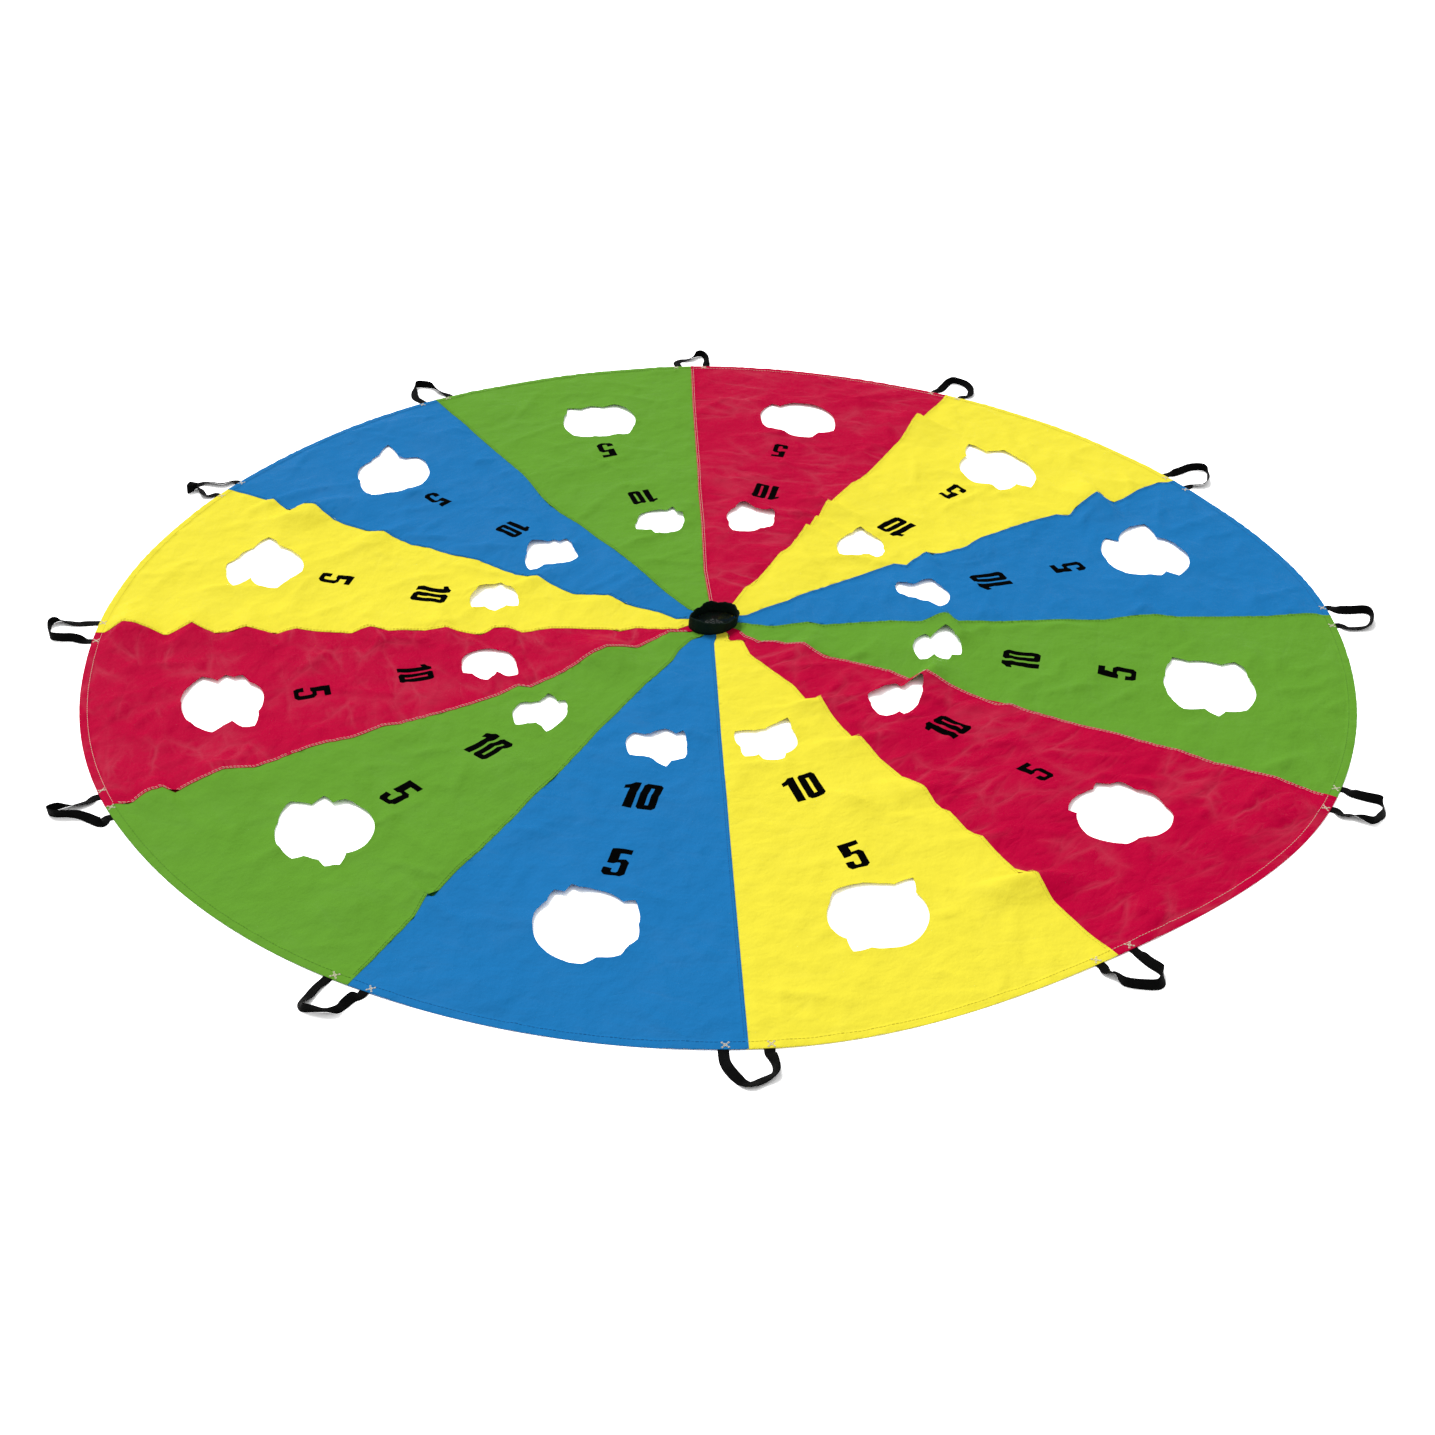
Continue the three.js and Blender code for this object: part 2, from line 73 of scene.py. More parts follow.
# Folds across the seams: for each seam the corners of its path, each with its place along the seam in fold
# spacings, how far the seam is drawn anticlockwise there and how high it stands, both as shares.
SEAM_PATH_SHARES = (
    ((1, -0.16, 0), (5.6, -0.12, 0), (10, -0.04, 0), (14, 0.04, 0), (17.5, 0.12, 0)),
    ((1.02, -0.46, 0), (1.22, 0.34, 0), (1.56, 0.1, 0), (2, -0.18, 0), (4, 0.1, 0), (4.94, -0.12, 0),
     (5.06, 0.4, 0.9), (5.3, 0.34, 0.6), (5.75, 0.18, 0.2), (6.4, 0, 0), (6.94, -0.06, 0),
     (7.06, 0.16, 0.5), (7.5, 0.18, 0.2), (8, 0.06, 0), (9, -0.02, 0), (9.5, 0.15, 0.4),
     (9.87, 0.26, 0.6), (10.2, 0.18, 0.3), (10.62, -0.02, 0), (11, 0.18, 0.2), (11.9, 0, 0),
     (12.31, 0.21, 0.4), (12.75, 0.16, 0.1), (13.5, -0.02, 0), (14, -0.06, 0), (14.19, 0.26, 0.8),
     (14.37, 0.32, 1), (14.75, 0.18, 0.5), (15.12, 0.06, 0), (16.62, -0.1, 0), (17.5, 0, 0)),
    ((1, -0.32, 0), (1.56, -0.56, 0), (1.87, -0.12, 0), (2.25, 0.02, 0), (2.75, 0.2, 0.5),
     (3.12, 0.06, 0.1), (3.5, -0.22, 0), (4.12, -0.02, 0), (5.37, 0.12, 0), (6.05, -0.22, 0),
     (6.25, 0.26, 0.7), (6.37, 0.36, 1), (6.62, 0.3, 0.8), (7.12, 0.19, 0.2), (7.5, 0.12, 0),
     (8.5, -0.22, 0), (8.9, 0.07, 0.2), (9.25, -0.02, 0), (12.25, 0.02, 0), (13.5, 0.07, 0.2),
     (14.37, -0.18, 0), (15, 0.06, 0), (15.87, 0.09, 0.2), (16.5, -0.02, 0), (17, -0.22, 0),
     (17.5, -0.18, 0)),
    ((1, -0.16, 0), (1.62, -0.46, 0), (2.25, -0.26, 0), (2.69, -0.08, 0), (3.06, -0.42, 0),
     (3.62, -0.26, 0), (5, -0.02, 0), (5.81, -0.22, 0), (6, 0, 0), (6.37, 0.14, 0.6), (6.6, 0.16, 0.75),
     (6.75, 0.03, 0.2), (6.87, -0.26, 0), (8, -0.26, 0), (9.75, -0.12, 0), (11, -0.22, 0),
     (11.75, 0.05, 0.1), (12.5, 0.1, 0.3), (13.12, 0.02, 0), (15.5, -0.06, 0), (17.1, 0.08, 0),
     (17.3, -0.16, 0), (17.5, -0.08, 0)),
    ((1, -0.3, 0), (1.75, -0.18, 0), (2.5, -0.24, 0), (3.12, 0, 0), (5.37, 0.12, 0), (6.5, 0.2, 0),
     (6.69, -0.44, 0), (7, -0.1, 0), (7.37, 0, 0.2), (7.62, 0.08, 0.4), (7.81, 0, 0), (8, -0.34, 0),
     (8.81, -0.7, 0), (9.25, -0.34, 0), (9.75, -0.04, 0), (12.69, -0.04, 0), (13, -0.6, 0), (13.5, 0, 0),
     (14, 0.18, 0.5), (14.56, 0.36, 1), (14.71, -0.7, 0), (15.37, -0.54, 0), (16, -0.24, 0), (17, -0.04, 0),
     (17.2, -0.4, 0), (17.5, -0.4, 0)),
    ((1.25, -0.04, 0), (2.25, 0.16, 0), (2.62, -0.04, 0), (4.5, 0.18, 0.2), (5, 0, 0), (6, 0.19, 0.3),
     (6.4, 0.24, 0.6), (6.5, 0.16, 0), (7.12, 0.25, 0.5), (7.22, 0.2, 0), (7.62, 0.29, 0.3),
     (8.02, 0.34, 0.7), (8.15, 0.28, 0), (8.5, 0.2, 0), (9.75, 0.19, 0.3), (10.25, 0.1, 0),
     (10.75, 0.02, 0), (13.5, 0.14, 0), (14.12, 0.21, 0.5), (14.75, 0.36, 0.8), (15.19, 0.38, 1),
     (15.37, 0.2, 0), (16, 0.2, 0), (17, 0.08, 0), (17.5, 0.18, 0)),
    ((1.25, 0.06, 0), (3, 0.26, 0), (6, 0.22, 0), (8, 0.28, 0), (9.75, 0.24, 0), (14.25, 0.28, 0),
     (17.5, 0.22, 0)),
    ((1, 0.28, 0), (2, 0.38, 0), (4.75, 0.48, 0), (7, 0.62, 0), (8, 0.92, 0), (8.75, 1, 0), (9.5, 0.88, 0),
     (10.25, 0.68, 0), (11, 0.52, 0), (13.5, 0.42, 0), (16, 0.34, 0), (17.5, 0.32, 0)),
    ((1, 0.5, 0), (1.62, 0.26, 0), (2.69, 0.44, 0), (3.37, 0.16, 0.3), (4, 0.5, 0), (4.37, 0.84, 0),
     (4.75, 0.74, 0), (5.37, 0.4, 0), (5.81, 0.16, 0.3), (6.12, 0.34, 0), (6.44, 0.54, 0), (7, 0.44, 0),
     (7.87, 0.14, 0), (8.75, 0.44, 0), (9.62, 0.24, 0), (10.25, 0.44, 0), (10.87, 0.24, 0),
     (11.4, 0.12, 0.4), (11.87, 0.4, 0), (12.75, 0.44, 0), (13.25, 0.24, 0), (13.75, 0, 0.6),
     (14.12, -0.29, 1), (14.5, -0.22, 0.9), (14.62, 0.03, 0.2), (14.94, 0.44, 0), (15.25, 0.2, 0),
     (15.72, -0.08, 0.5), (15.9, 0, 0), (17.5, 0.02, 0)),
    ((1, 0.54, 0), (2.31, 0.3, 0), (2.69, 0.66, 0), (3.06, 0.36, 0), (4.75, 0.4, 0), (5.5, 0.66, 0),
     (5.81, 0.28, 0.3), (6.25, 0.28, 0.3), (6.62, 0.86, 0), (7.25, 0.4, 0), (7.62, 0.2, 0.4),
     (8.25, 0.46, 0), (9.25, 0.56, 0), (9.81, 0.18, 0.5), (10.31, 0.46, 0), (11.37, 0.24, 0.1),
     (11.87, 0.16, 0.4), (12.44, 0.5, 0), (12.81, 0.28, 0.3), (13.25, 0.2, 0.8), (13.62, 0.21, 0.2),
     (14.12, 0.3, 0), (14.5, 0.11, 0.6), (14.81, -0.19, 1), (15.19, 0.08, 0.3), (15.5, 0.46, 0),
     (15.87, 0.08, 0.3), (16.31, -0.04, 0.8), (16.69, -0.19, 1), (17, -0.04, 0.4), (17.25, 0.16, 0),
     (17.5, 0.04, 0)),
    ((1, -0.28, 0), (1.31, -0.45, 0.2), (1.75, -0.38, 0), (2.5, -0.08, 0), (2.87, -0.22, 0.4),
     (3.37, -0.3, 0.9), (3.87, -0.28, 0.7), (4.37, -0.22, 0.1), (5, 0.16, 0), (6, 0.52, 0),
     (6.25, 0.02, 0), (6.87, 0.26, 0), (8, 0.26, 0), (9.75, 0.12, 0), (10.19, -0.05, 0.2), (11, -0.08, 0),
     (11.87, -0.18, 0.3), (13.69, -0.18, 0), (14.12, -0.32, 0.4), (14.5, -0.36, 0.8), (15.25, -0.38, 0.3),
     (15.81, -0.18, 0), (16.06, -0.59, 0.6), (16.5, -0.66, 0.5), (16.9, -0.38, 0), (17.25, -0.78, 0),
     (17.5, -0.76, 0)),
    ((1, -0.36, 0), (1.75, -0.42, 0), (2.25, -0.22, 0), (4, -0.24, 0.2), (6, -0.26, 0), (8.5, -0.06, 0),
     (14, 0, 0), (14.1, -0.14, 0.5), (14.37, -0.08, 0.2), (14.81, 0.12, 0), (17.5, 0.26, 0)),
)

# For each gore, its outer hole's shift outwards and sideways, then its inner hole's, as shares of the
# shift.
HOLE_SHIFT_SHARES = (
    (0.05, -0.4, -0.5, -0.7), (-0.2, 0.45, -0.3, 0.85), (-0.4, -0.1, -0.4, 0.6), (-0.1, 0.5, 0.05, 0),
    (-0.15, 0.1, 0.35, -0.05), (-0.15, 0.5, -0.05, 0.6), (-0.3, -0.4, -0.3, -0.6), (0.5, 0.4, 0.2, 0.6),
    (0.4, -0.35, 0.45, -0.1), (0.3, 0.35, 0.4, 0.45), (-0.1, -0.5, 0.15, -0.4), (-0.2, 0.3, -0.3, 0),
)

# For each gore, the corners of its outer hole's loose edge and then of its inner one's. A corner is a turn
# in degrees from straight outwards, and its distance from the middle as a share of the hole's radius.
HOLE_CORNER_SHARES = (
    (((18, 1.0), (84, 0.99), (111, 1.0), (127, 1.32), (140, 0.97), (158, 0.94), (180, 1.0), (212, 1.12),
      (229, 1.02), (273, 1.0), (297, 0.92), (314, 1.15), (330, 0.93)),
     ((7, 1.22), (18, 0.98), (57, 1.04), (87, 1.0), (113, 1.06), (136, 1.45), (149, 1.1), (172, 0.78),
      (202, 0.83), (225, 1.36), (270, 1.05), (299, 1.27), (317, 0.9), (330, 1.13), (350, 1.2))),
    (((18, 1.0), (44, 1.0), (62, 0.93), (90, 0.98), (109, 0.93), (131, 1.12), (140, 1.03), (153, 1.13),
      (162, 0.96), (208, 1.0), (226, 1.03), (232, 0.88), (270, 1.08), (314, 1.05), (331, 0.87),
      (354, 0.95)),
     ((0, 0.9), (29, 0.85), (69, 1.0), (96, 1.45), (107, 1.4), (111, 0.9), (127, 1.1), (145, 0.9),
      (180, 0.73), (208, 0.99), (243, 0.92), (273, 1.14), (288, 1.35), (299, 1.36), (321, 0.93),
      (327, 1.21), (348, 0.98))),
    (((0, 1.11), (26, 1.05), (44, 1.18), (59, 1.26), (68, 0.98), (90, 0.98), (112, 0.96), (127, 1.2),
      (134, 1.07), (166, 0.86), (204, 0.88), (227, 0.98), (251, 1.18), (273, 0.97), (287, 1.24),
      (298, 1.07), (318, 1.27)),
     ((0, 1.05), (26, 1.0), (41, 0.95), (78, 1.28), (114, 0.5), (123, 0.8), (155, 0.74), (195, 0.78),
      (232, 1.04), (253, 1.24), (265, 1.09), (278, 0.72), (292, 1.1), (304, 1.19), (323, 0.93),
      (337, 1.18))),
    (((0, 0.91), (29, 0.96), (43, 0.9), (61, 1.54), (112, 0.78), (118, 1.1), (143, 1.03), (180, 1.03),
      (219, 1.27), (245, 1.08), (262, 1.09), (273, 0.95), (281, 1.24), (302, 1.16), (324, 1.05)),
     ((0, 0.82), (27, 0.81), (48, 1.0), (71, 0.79), (105, 0.59), (122, 0.68), (129, 1.12), (147, 1.13),
      (180, 1.05), (210, 0.83), (227, 0.84), (256, 1.06), (272, 1.22), (292, 1.22), (317, 1.06),
      (335, 0.97))),
    (((0, 0.77), (29, 0.95), (57, 0.86), (69, 1.44), (96, 0.95), (143, 1.03), (185, 1.14), (205, 1.08),
      (220, 1.37), (230, 1.28), (247, 1.03), (257, 1.38), (298, 0.99), (315, 0.87), (344, 0.77)),
     ((0, 0.8), (28, 0.98), (39, 1.3), (62, 0.88), (97, 0.83), (133, 0.91), (162, 1.14), (182, 1.42),
      (203, 1.29), (229, 0.95), (243, 1.03), (250, 1.42), (264, 1.4), (295, 0.97), (333, 0.9))),
    (((0, 0.95), (22, 0.95), (44, 0.88), (50, 1.12), (81, 1.04), (111, 1.0), (141, 1.06), (162, 0.98),
      (205, 1.23), (229, 0.95), (250, 1.17), (276, 1.04), (305, 1.0), (338, 0.98)),
     ((0, 0.82), (17, 1.08), (29, 1.3), (47, 0.98), (84, 0.93), (126, 0.89), (161, 1.28), (180, 1.13),
      (211, 1.09), (245, 1.22), (276, 1.04), (315, 1.17), (324, 0.89), (345, 0.8))),
    (((0, 0.98), (19, 0.93), (32, 1.22), (46, 1.03), (72, 0.98), (96, 1.01), (125, 1.07), (154, 0.94),
      (186, 0.93), (211, 1.11), (231, 0.99), (264, 0.98), (294, 1.0), (321, 1.06), (339, 0.88)),
     ((0, 0.93), (18, 1.03), (41, 1.1), (73, 1.03), (109, 1.22), (135, 0.87), (151, 1.12), (180, 1.08),
      (208, 1.11), (233, 1.03), (270, 1.02), (286, 1.14), (300, 0.92), (322, 1.26), (331, 0.93))),
    (((0, 0.86), (40, 0.88), (78, 0.95), (116, 1.35), (137, 1.2), (180, 1.21), (203, 1.06), (238, 0.98),
      (276, 1.02), (292, 0.8), (308, 0.85), (323, 1.55), (337, 1.06)),
     ((0, 1.03), (22, 0.95), (59, 0.9), (85, 1.14), (109, 1.4), (119, 1.29), (130, 1.0), (157, 1.06),
      (180, 1.29), (203, 1.34), (233, 1.03), (276, 1.3), (283, 0.82), (304, 0.92), (317, 0.68),
      (350, 0.9))),
    (((0, 0.74), (11, 0.84), (40, 0.88), (63, 1.04), (81, 1.25), (90, 0.67), (112, 1.11), (129, 1.32),
      (150, 1.13), (170, 1.15), (198, 0.98), (230, 0.88), (267, 0.93), (286, 1.34), (306, 0.89),
      (343, 0.7)),
     ((0, 0.72), (21, 0.86), (41, 1.02), (65, 1.2), (87, 0.98), (112, 1.22), (125, 1.07), (142, 0.92),
      (159, 1.27), (180, 1.03), (211, 0.9), (245, 0.85), (260, 0.89), (270, 1.15), (284, 0.75), (310, 0.8),
      (335, 0.75))),
    (((0, 0.82), (24, 0.88), (61, 1.06), (77, 1.16), (90, 0.93), (103, 0.84), (109, 1.2), (119, 1.32),
      (141, 0.99), (167, 0.95), (199, 0.93), (220, 0.88), (237, 1.04), (247, 0.92), (259, 1.05), (270, 0.8),
      (286, 1.13), (311, 0.95), (332, 0.88)),
     ((0, 1.0), (26, 1.17), (41, 0.95), (63, 1.14), (78, 1.21), (90, 1.08), (103, 0.84), (115, 1.36),
      (130, 1.35), (152, 1.11), (180, 0.98), (205, 0.97), (234, 0.89), (270, 0.95), (302, 0.97),
      (332, 0.99))),
    (((0, 1.03), (17, 1.08), (27, 0.92), (46, 0.99), (53, 1.23), (66, 1.3), (78, 1.0), (101, 1.05),
      (127, 1.03), (180, 0.95), (205, 0.97), (219, 0.82), (232, 1.08), (248, 0.87), (266, 1.19),
      (302, 0.97), (328, 0.97)),
     ((13, 0.9), (33, 0.86), (47, 0.97), (55, 1.33), (79, 1.13), (108, 1.03), (139, 0.95), (176, 1.08),
      (186, 0.82), (222, 1.24), (235, 0.67), (262, 0.73), (279, 1.04), (311, 1.1), (338, 1.11),
      (357, 1.24))),
    (((0, 1.21), (12, 1.21), (25, 1.08), (47, 1.19), (62, 1.08), (74, 1.1), (96, 0.98), (124, 1.02),
      (137, 1.08), (144, 0.88), (180, 0.93), (205, 0.97), (211, 1.1), (222, 0.94), (230, 1.1), (248, 0.95),
      (270, 1.01), (294, 1.02), (332, 1.11)),
     ((0, 0.96), (24, 1.41), (37, 1.1), (61, 1.27), (90, 1.03), (114, 1.01), (143, 1.14), (150, 0.85),
      (180, 0.95), (196, 0.75), (222, 0.62), (236, 0.74), (245, 1.08), (265, 1.12), (297, 1.15),
      (318, 1.24), (335, 0.97), (350, 0.9))),
)

# For each gore, how far its ten and its five stand off their places: outwards and sideways, as shares.
NUMBER_SHIFT_SHARES = (
    (-0.1, -0.4, 0.2, 0.05), (-0.6, 0.55, -0.5, 0.3), (0.4, 0.1, -0.2, 0), (0.3, 0, -0.5, 0.2),
    (-0.5, -0.4, -0.2, 0), (-0.4, 0.3, -0.3, 0.7), (-0.9, -0.3, 0.2, 0.2), (-0.4, 0.35, 0.2, 0.9),
    (0, 0.55, 0.25, 0.2), (0.4, 0.45, 0.25, 0.8), (0.3, 0, 0.2, -0.1), (0.3, 0.2, 0, 0.5),
)

# For each gore, the heights of its ten and its five, as shares of the largest. The folds shorten them.
NUMBER_HEIGHT_SHARES = (
    (0.96, 1), (0.9, 0.85), (0.93, 1), (0.96, 0.95), (0.96, 0.9), (0.86, 0.8),
    (0.82, 0.93), (0.82, 0.87), (0.96, 0.95), (0.86, 0.95), (0.96, 1), (1, 1),
)

# The digits' outlines in a plain heavy block face: across and up, both as shares of the digit's height.
DIGIT_ONE_SHARES = (
    (0.13, 0), (0.35, 0), (0.35, 1), (0.21, 1), (0.11, 0.9), (0, 0.84), (0, 0.7), (0.13, 0.74),
)
DIGIT_NOUGHT_SHARES = (
    (0.07, 0), (0.38, 0), (0.45, 0.08), (0.45, 0.92), (0.38, 1), (0.07, 1), (0, 0.92), (0, 0.08),
)
NOUGHT_SLIT_SHARES = ((0.185, 0.17), (0.265, 0.17), (0.265, 0.83), (0.185, 0.83))
DIGIT_FIVE_SHARES = (
    (0.08, 0), (0.46, 0), (0.56, 0.09), (0.56, 0.52), (0.46, 0.62), (0.28, 0.62), (0.28, 0.82), (0.54, 0.82),
    (0.54, 1), (0.04, 1), (0.04, 0.46), (0.2, 0.46), (0.26, 0.5), (0.34, 0.5), (0.37, 0.46), (0.37, 0.17),
    (0.34, 0.13), (0.24, 0.13), (0.21, 0.17), (0.21, 0.28), (0, 0.28), (0, 0.09),
)

# How each handle's free strap lies: for each handle the corners of its strap's middle line, each with its
# place beside the seam and out from the hem, both as shares of the strap unit, and its tilt in degrees. At a
# tilt of 0 the strap lies flat, at 90 it stands on its inner edge and at -90 on its outer one.
STRAP_PATH_SHARES = (
    ((-0.48, 0.38, -10), (-0.41, 0.62, -22), (-0.25, 0.88, -12), (0, 1.1, 18), (0.3, 0.98, 14),
     (0.56, 0.8, 38), (0.59, 0.56, 52), (0.54, 0.3, 35)),
    ((-0.56, 0.3, 10), (-0.5, 0.48, 45), (-0.52, 0.64, 80), (-0.5, 0.86, 102), (-0.23, 1.12, 118),
     (0.1, 1.29, 132), (0.32, 1.18, 118), (0.47, 0.92, 56), (0.46, 0.6, 32), (0.47, 0.3, 22)),
    ((-0.64, 0.3, 18), (-0.56, 0.52, 25), (-0.6, 0.8, 66), (-0.62, 1.04, 88), (-0.42, 1.14, 110),
     (-0.12, 1.2, 116), (0.18, 1.1, 105), (0.36, 0.96, 56), (0.36, 0.65, 40), (0.38, 0.3, 28)),
    ((-0.68, 0.3, 12), (-0.69, 0.6, 12), (-0.64, 0.84, 30), (-0.5, 0.98, 55), (-0.24, 1.1, 72),
     (0.06, 1.14, 84), (0.21, 1, 62), (0.21, 0.65, 52), (0.26, 0.3, 42)),
    ((-0.5, 0.25, 25), (-0.66, 0.52, 35), (-0.6, 0.82, 68), (-0.3, 1.1, 90), (-0.04, 1.3, 92),
     (0.18, 1.3, 84), (0.38, 0.96, 58), (0.36, 0.55, 55), (0.38, 0.28, 45)),
    ((-0.68, 0.3, 15), (-0.64, 0.55, 28), (-0.54, 0.76, 42), (-0.28, 0.97, 75), (0.04, 1.07, 92),
     (0.24, 1.04, 72), (0.34, 0.82, 45), (0.34, 0.48, 38), (0.38, 0.24, 25)),
    ((-0.5, 0.25, 25), (-0.51, 0.5, 48), (-0.45, 0.74, 72), (-0.32, 0.9, 90), (-0.14, 0.82, 105),
     (-0.02, 0.66, 140), (0.18, 0.54, 165), (0.38, 0.52, 178), (0.52, 0.38, 180), (0.53, 0.22, 180)),
    ((-0.38, 0.38, -30), (-0.32, 0.62, -52), (-0.3, 0.88, -75), (-0.16, 1.1, -100), (0.06, 1.28, -104),
     (0.26, 1.18, -70), (0.44, 0.84, -25), (0.56, 0.48, -8)),
    ((-0.4, 0.22, -25), (-0.16, 0.3, -34), (-0.08, 0.46, -34), (-0.03, 0.72, -32), (0.04, 0.92, -15),
     (0.24, 1.04, 12), (0.48, 1.06, 60), (0.72, 1.02, 88), (0.82, 0.95, 92), (0.7, 0.88, 88),
     (0.48, 0.86, 60), (0.5, 0.72, 38), (0.62, 0.54, 35), (0.74, 0.36, 30), (0.68, 0.2, 10)),
    ((-0.46, 0.38, 5), (-0.46, 0.62, -2), (-0.52, 0.9, -20), (-0.56, 1.16, -55), (-0.38, 1.32, -100),
     (0, 1.28, -100), (0.34, 1.16, -88), (0.43, 0.86, -70), (0.44, 0.56, -65), (0.5, 0.32, -45)),
    ((-0.39, 0.3, -12), (-0.38, 0.58, -26), (-0.41, 0.8, -46), (-0.47, 1.06, -85), (-0.42, 1.3, -95),
     (-0.2, 1.2, -97), (-0.03, 0.92, -94), (0.12, 0.72, -80), (0.38, 0.52, -56), (0.62, 0.38, -50),
     (0.68, 0.27, -35)),
    ((-0.51, 0.4, -10), (-0.48, 0.72, -12), (-0.46, 0.98, -35), (-0.33, 1.14, -75), (-0.06, 1.07, -100),
     (0.2, 0.97, -118), (0.4, 0.84, -85), (0.41, 0.58, -52), (0.43, 0.32, -42)),
)

# The long soft waves of the whole cloth: how many, the shortest and the longest, and how they are drawn
# together, so that the cloth lies flat between them.
BILLOW_WAVES = 14
BILLOW_LENGTHS = (0.22, 0.6)
BILLOW_SUM_SHARE = 5.2
BILLOW_FLOOR_SHARE = 0.1
BILLOW_POWER = 1.2

# How many straight creases a gore has, and how many a red one, whose cloth is the most creased. Then their
# half lengths and breadths, and the turn of their middle direction from the gore's, with its spread.
CREASES = 30
RED_CREASES = 64
CREASE_HALF_LENGTHS = (0.06, 0.22)
CREASE_BREADTHS = (0.009, 0.02)
CREASE_HEADING = math.radians(62)
CREASE_SPREAD = math.radians(34)

# The small wrinkles: how many waves they are made of, the waves' lengths, and over which lengths they bend
# and come and go.
CRUMPLE_WAVES = 9
CRUMPLE_LENGTHS = (0.06, 0.15)
CRUMPLE_BEND_LENGTHS = (0.2, 0.45)
CRUMPLE_PATCH_LENGTHS = (0.3, 0.7)

# Lengths over which the waves come up from the rim's edge and from a seam, and over which the thread's
# puckers die away from the seam or the hem that draws them. The hem has none beside a handle.
BILLOW_RIM_LENGTH = 0.12
CREASE_RIM_LENGTH = 0.05
CREASE_SEAM_LENGTH = 0.03
CRUMPLE_RIM_LENGTH = 0.04
CRUMPLE_SEAM_LENGTH = 0.02
PUCKER_RIM_LENGTH = 0.03
PUCKER_SEAM_LENGTH = 0.02
PUCKER_HEM_LENGTH = 0.03
HANDLE_CALM_HALF = 0.07
HANDLE_CALM_LENGTH = 0.06

# Lengths over which the cloth steps up or down: at the hem's inner edge, where the rim rounds, at the
# felled seam's inner edge and where the lap climbs on the next gore. Then the share of its height that the
# rim keeps.
HEM_STEP_LENGTH = 0.0015
RIM_STEP_LENGTH = 0.0012
FELLED_STEP_LENGTH = 0.003
LAP_STEP_LENGTH = 0.002
RIM_KEPT_SHARE = 0.35

# Where the cloth's mesh has extra rows of points: on the hem, inside it and round the holes. Then the least
# distance between such a point and an edge's, the same for the points between them as a share of the mesh
# pitch, and the distance under which two points are one.
HEM_FACE_INSET = 0.005
HEM_MARGIN = 0.006
HOLE_RING_DISTANCES = (0.004, 0.011, 0.02)
OUTER_RING_STEPS = 84
INNER_RING_STEPS = 56
POINT_CLEARANCE = 0.0011
GRID_CLEARANCE_SHARE = 0.6
MERGE_DISTANCE = 1e-7

# The stitches' corners and rings, each ring with its place along the stitch and its radius as shares, and
# how high a stitch's middle lies over the cloth, as a share of its thread. Then the tacks' stitches: how
# many go to one of the seams', and the bare share at each end.
STITCH_SIDES = 6
STITCH_RING_SHARES = ((0.0, 0.45), (0.18, 1.0), (0.82, 1.0), (1.0, 0.45))
STITCH_LIFT_SHARE = 0.3
TACK_LIFT_SHARE = 0.35
TACK_COUNT_SHARE = 1.6
TACK_END_SHARE = 0.08

# Steps from corner to corner of a strap's path and along the sewn strip, and where the strap starts to
# bend, as a share of the tab. The webbing's cross section: its rounded edges as shares of its thickness.
STRAP_STEPS = 8
STRIP_STEPS = 8
WEBBING_EDGE_SHARE = 0.5
WEBBING_BEVEL_SHARE = 0.3
WEBBING_LOW_SHARE = 0.15
WEBBING_THIRD_SHARES = (0.33, 0.67)

# The radius inside which the cloth lies flat under the collar, as a share of the collar's radius, and the
# turns beside a place whose shares are averaged there.
COLLAR_SEAT_SHARE = 1.145
SOFTENING_TURNS = (-0.15, -0.075, 0, 0.075, 0.15)

# How the soft collar stands: corners round the vent, each with its turn from +X in degrees and, as shares,
# its inner radius, its height and how far its upper edge leans outwards.
COLLAR_COLUMNS = ("radius", "height", "lean")
COLLAR_CORNER_SHARES = (
    (-170, 1.05, 1.08, -0.3), (-138, 1.02, 1.14, -0.5), (-109, 0.92, 1.1, -0.3), (-78, 0.82, 1, 0.1),
    (-40, 0.8, 0.86, 0.3), (-12, 0.92, 0.9, 0.4), (6, 0.98, 1, 0.3), (32, 1.08, 1.02, 0.2),
    (50, 1.04, 1.06, 0), (75, 0.92, 1.08, -0.2), (104, 0.94, 1.1, -0.1), (130, 0.86, 0.98, -0.4),
    (158, 0.92, 0.84, -0.5),
)

# The collar's cross section, each point with its place through the cloth and its height, as shares: the
# upper edge is turned over and thicker. Then the steps round it, how far its edge sways, and its ripples,
# each with its height, its number round the collar and its phase. Its outer face lies apart from the inner
# in the pattern.
COLLAR_OUTLINE_SHARES = (
    (0.0, 0.0), (0.0, 0.25), (-0.2, 0.5), (-0.3, 0.75), (-0.45, 0.9), (-0.3, 0.97), (0.2, 1.0), (0.8, 1.0),
    (1.3, 0.97), (1.45, 0.9), (1.3, 0.8), (1.15, 0.5), (1.0, 0.25), (1.0, 0.0),
)
COLLAR_STEPS = 144
COLLAR_SWAY_SHARE = 0.2
COLLAR_SWAYS = 7
COLLAR_SWAY_PHASE = 2
COLLAR_RIPPLES = ((0.0006, 13, 0), (0.0004, 31, 1))
COLLAR_FACE_OFFSET = 0.05

# The net's threads: how far their rows reach, as a share of the collar's radius, how far they rise and
# fall over each other, as a share of their own radius, and their corners.
NET_REACH_SHARE = 1.2
NET_WEAVE_SHARE = 0.9
NET_SIDES = 5

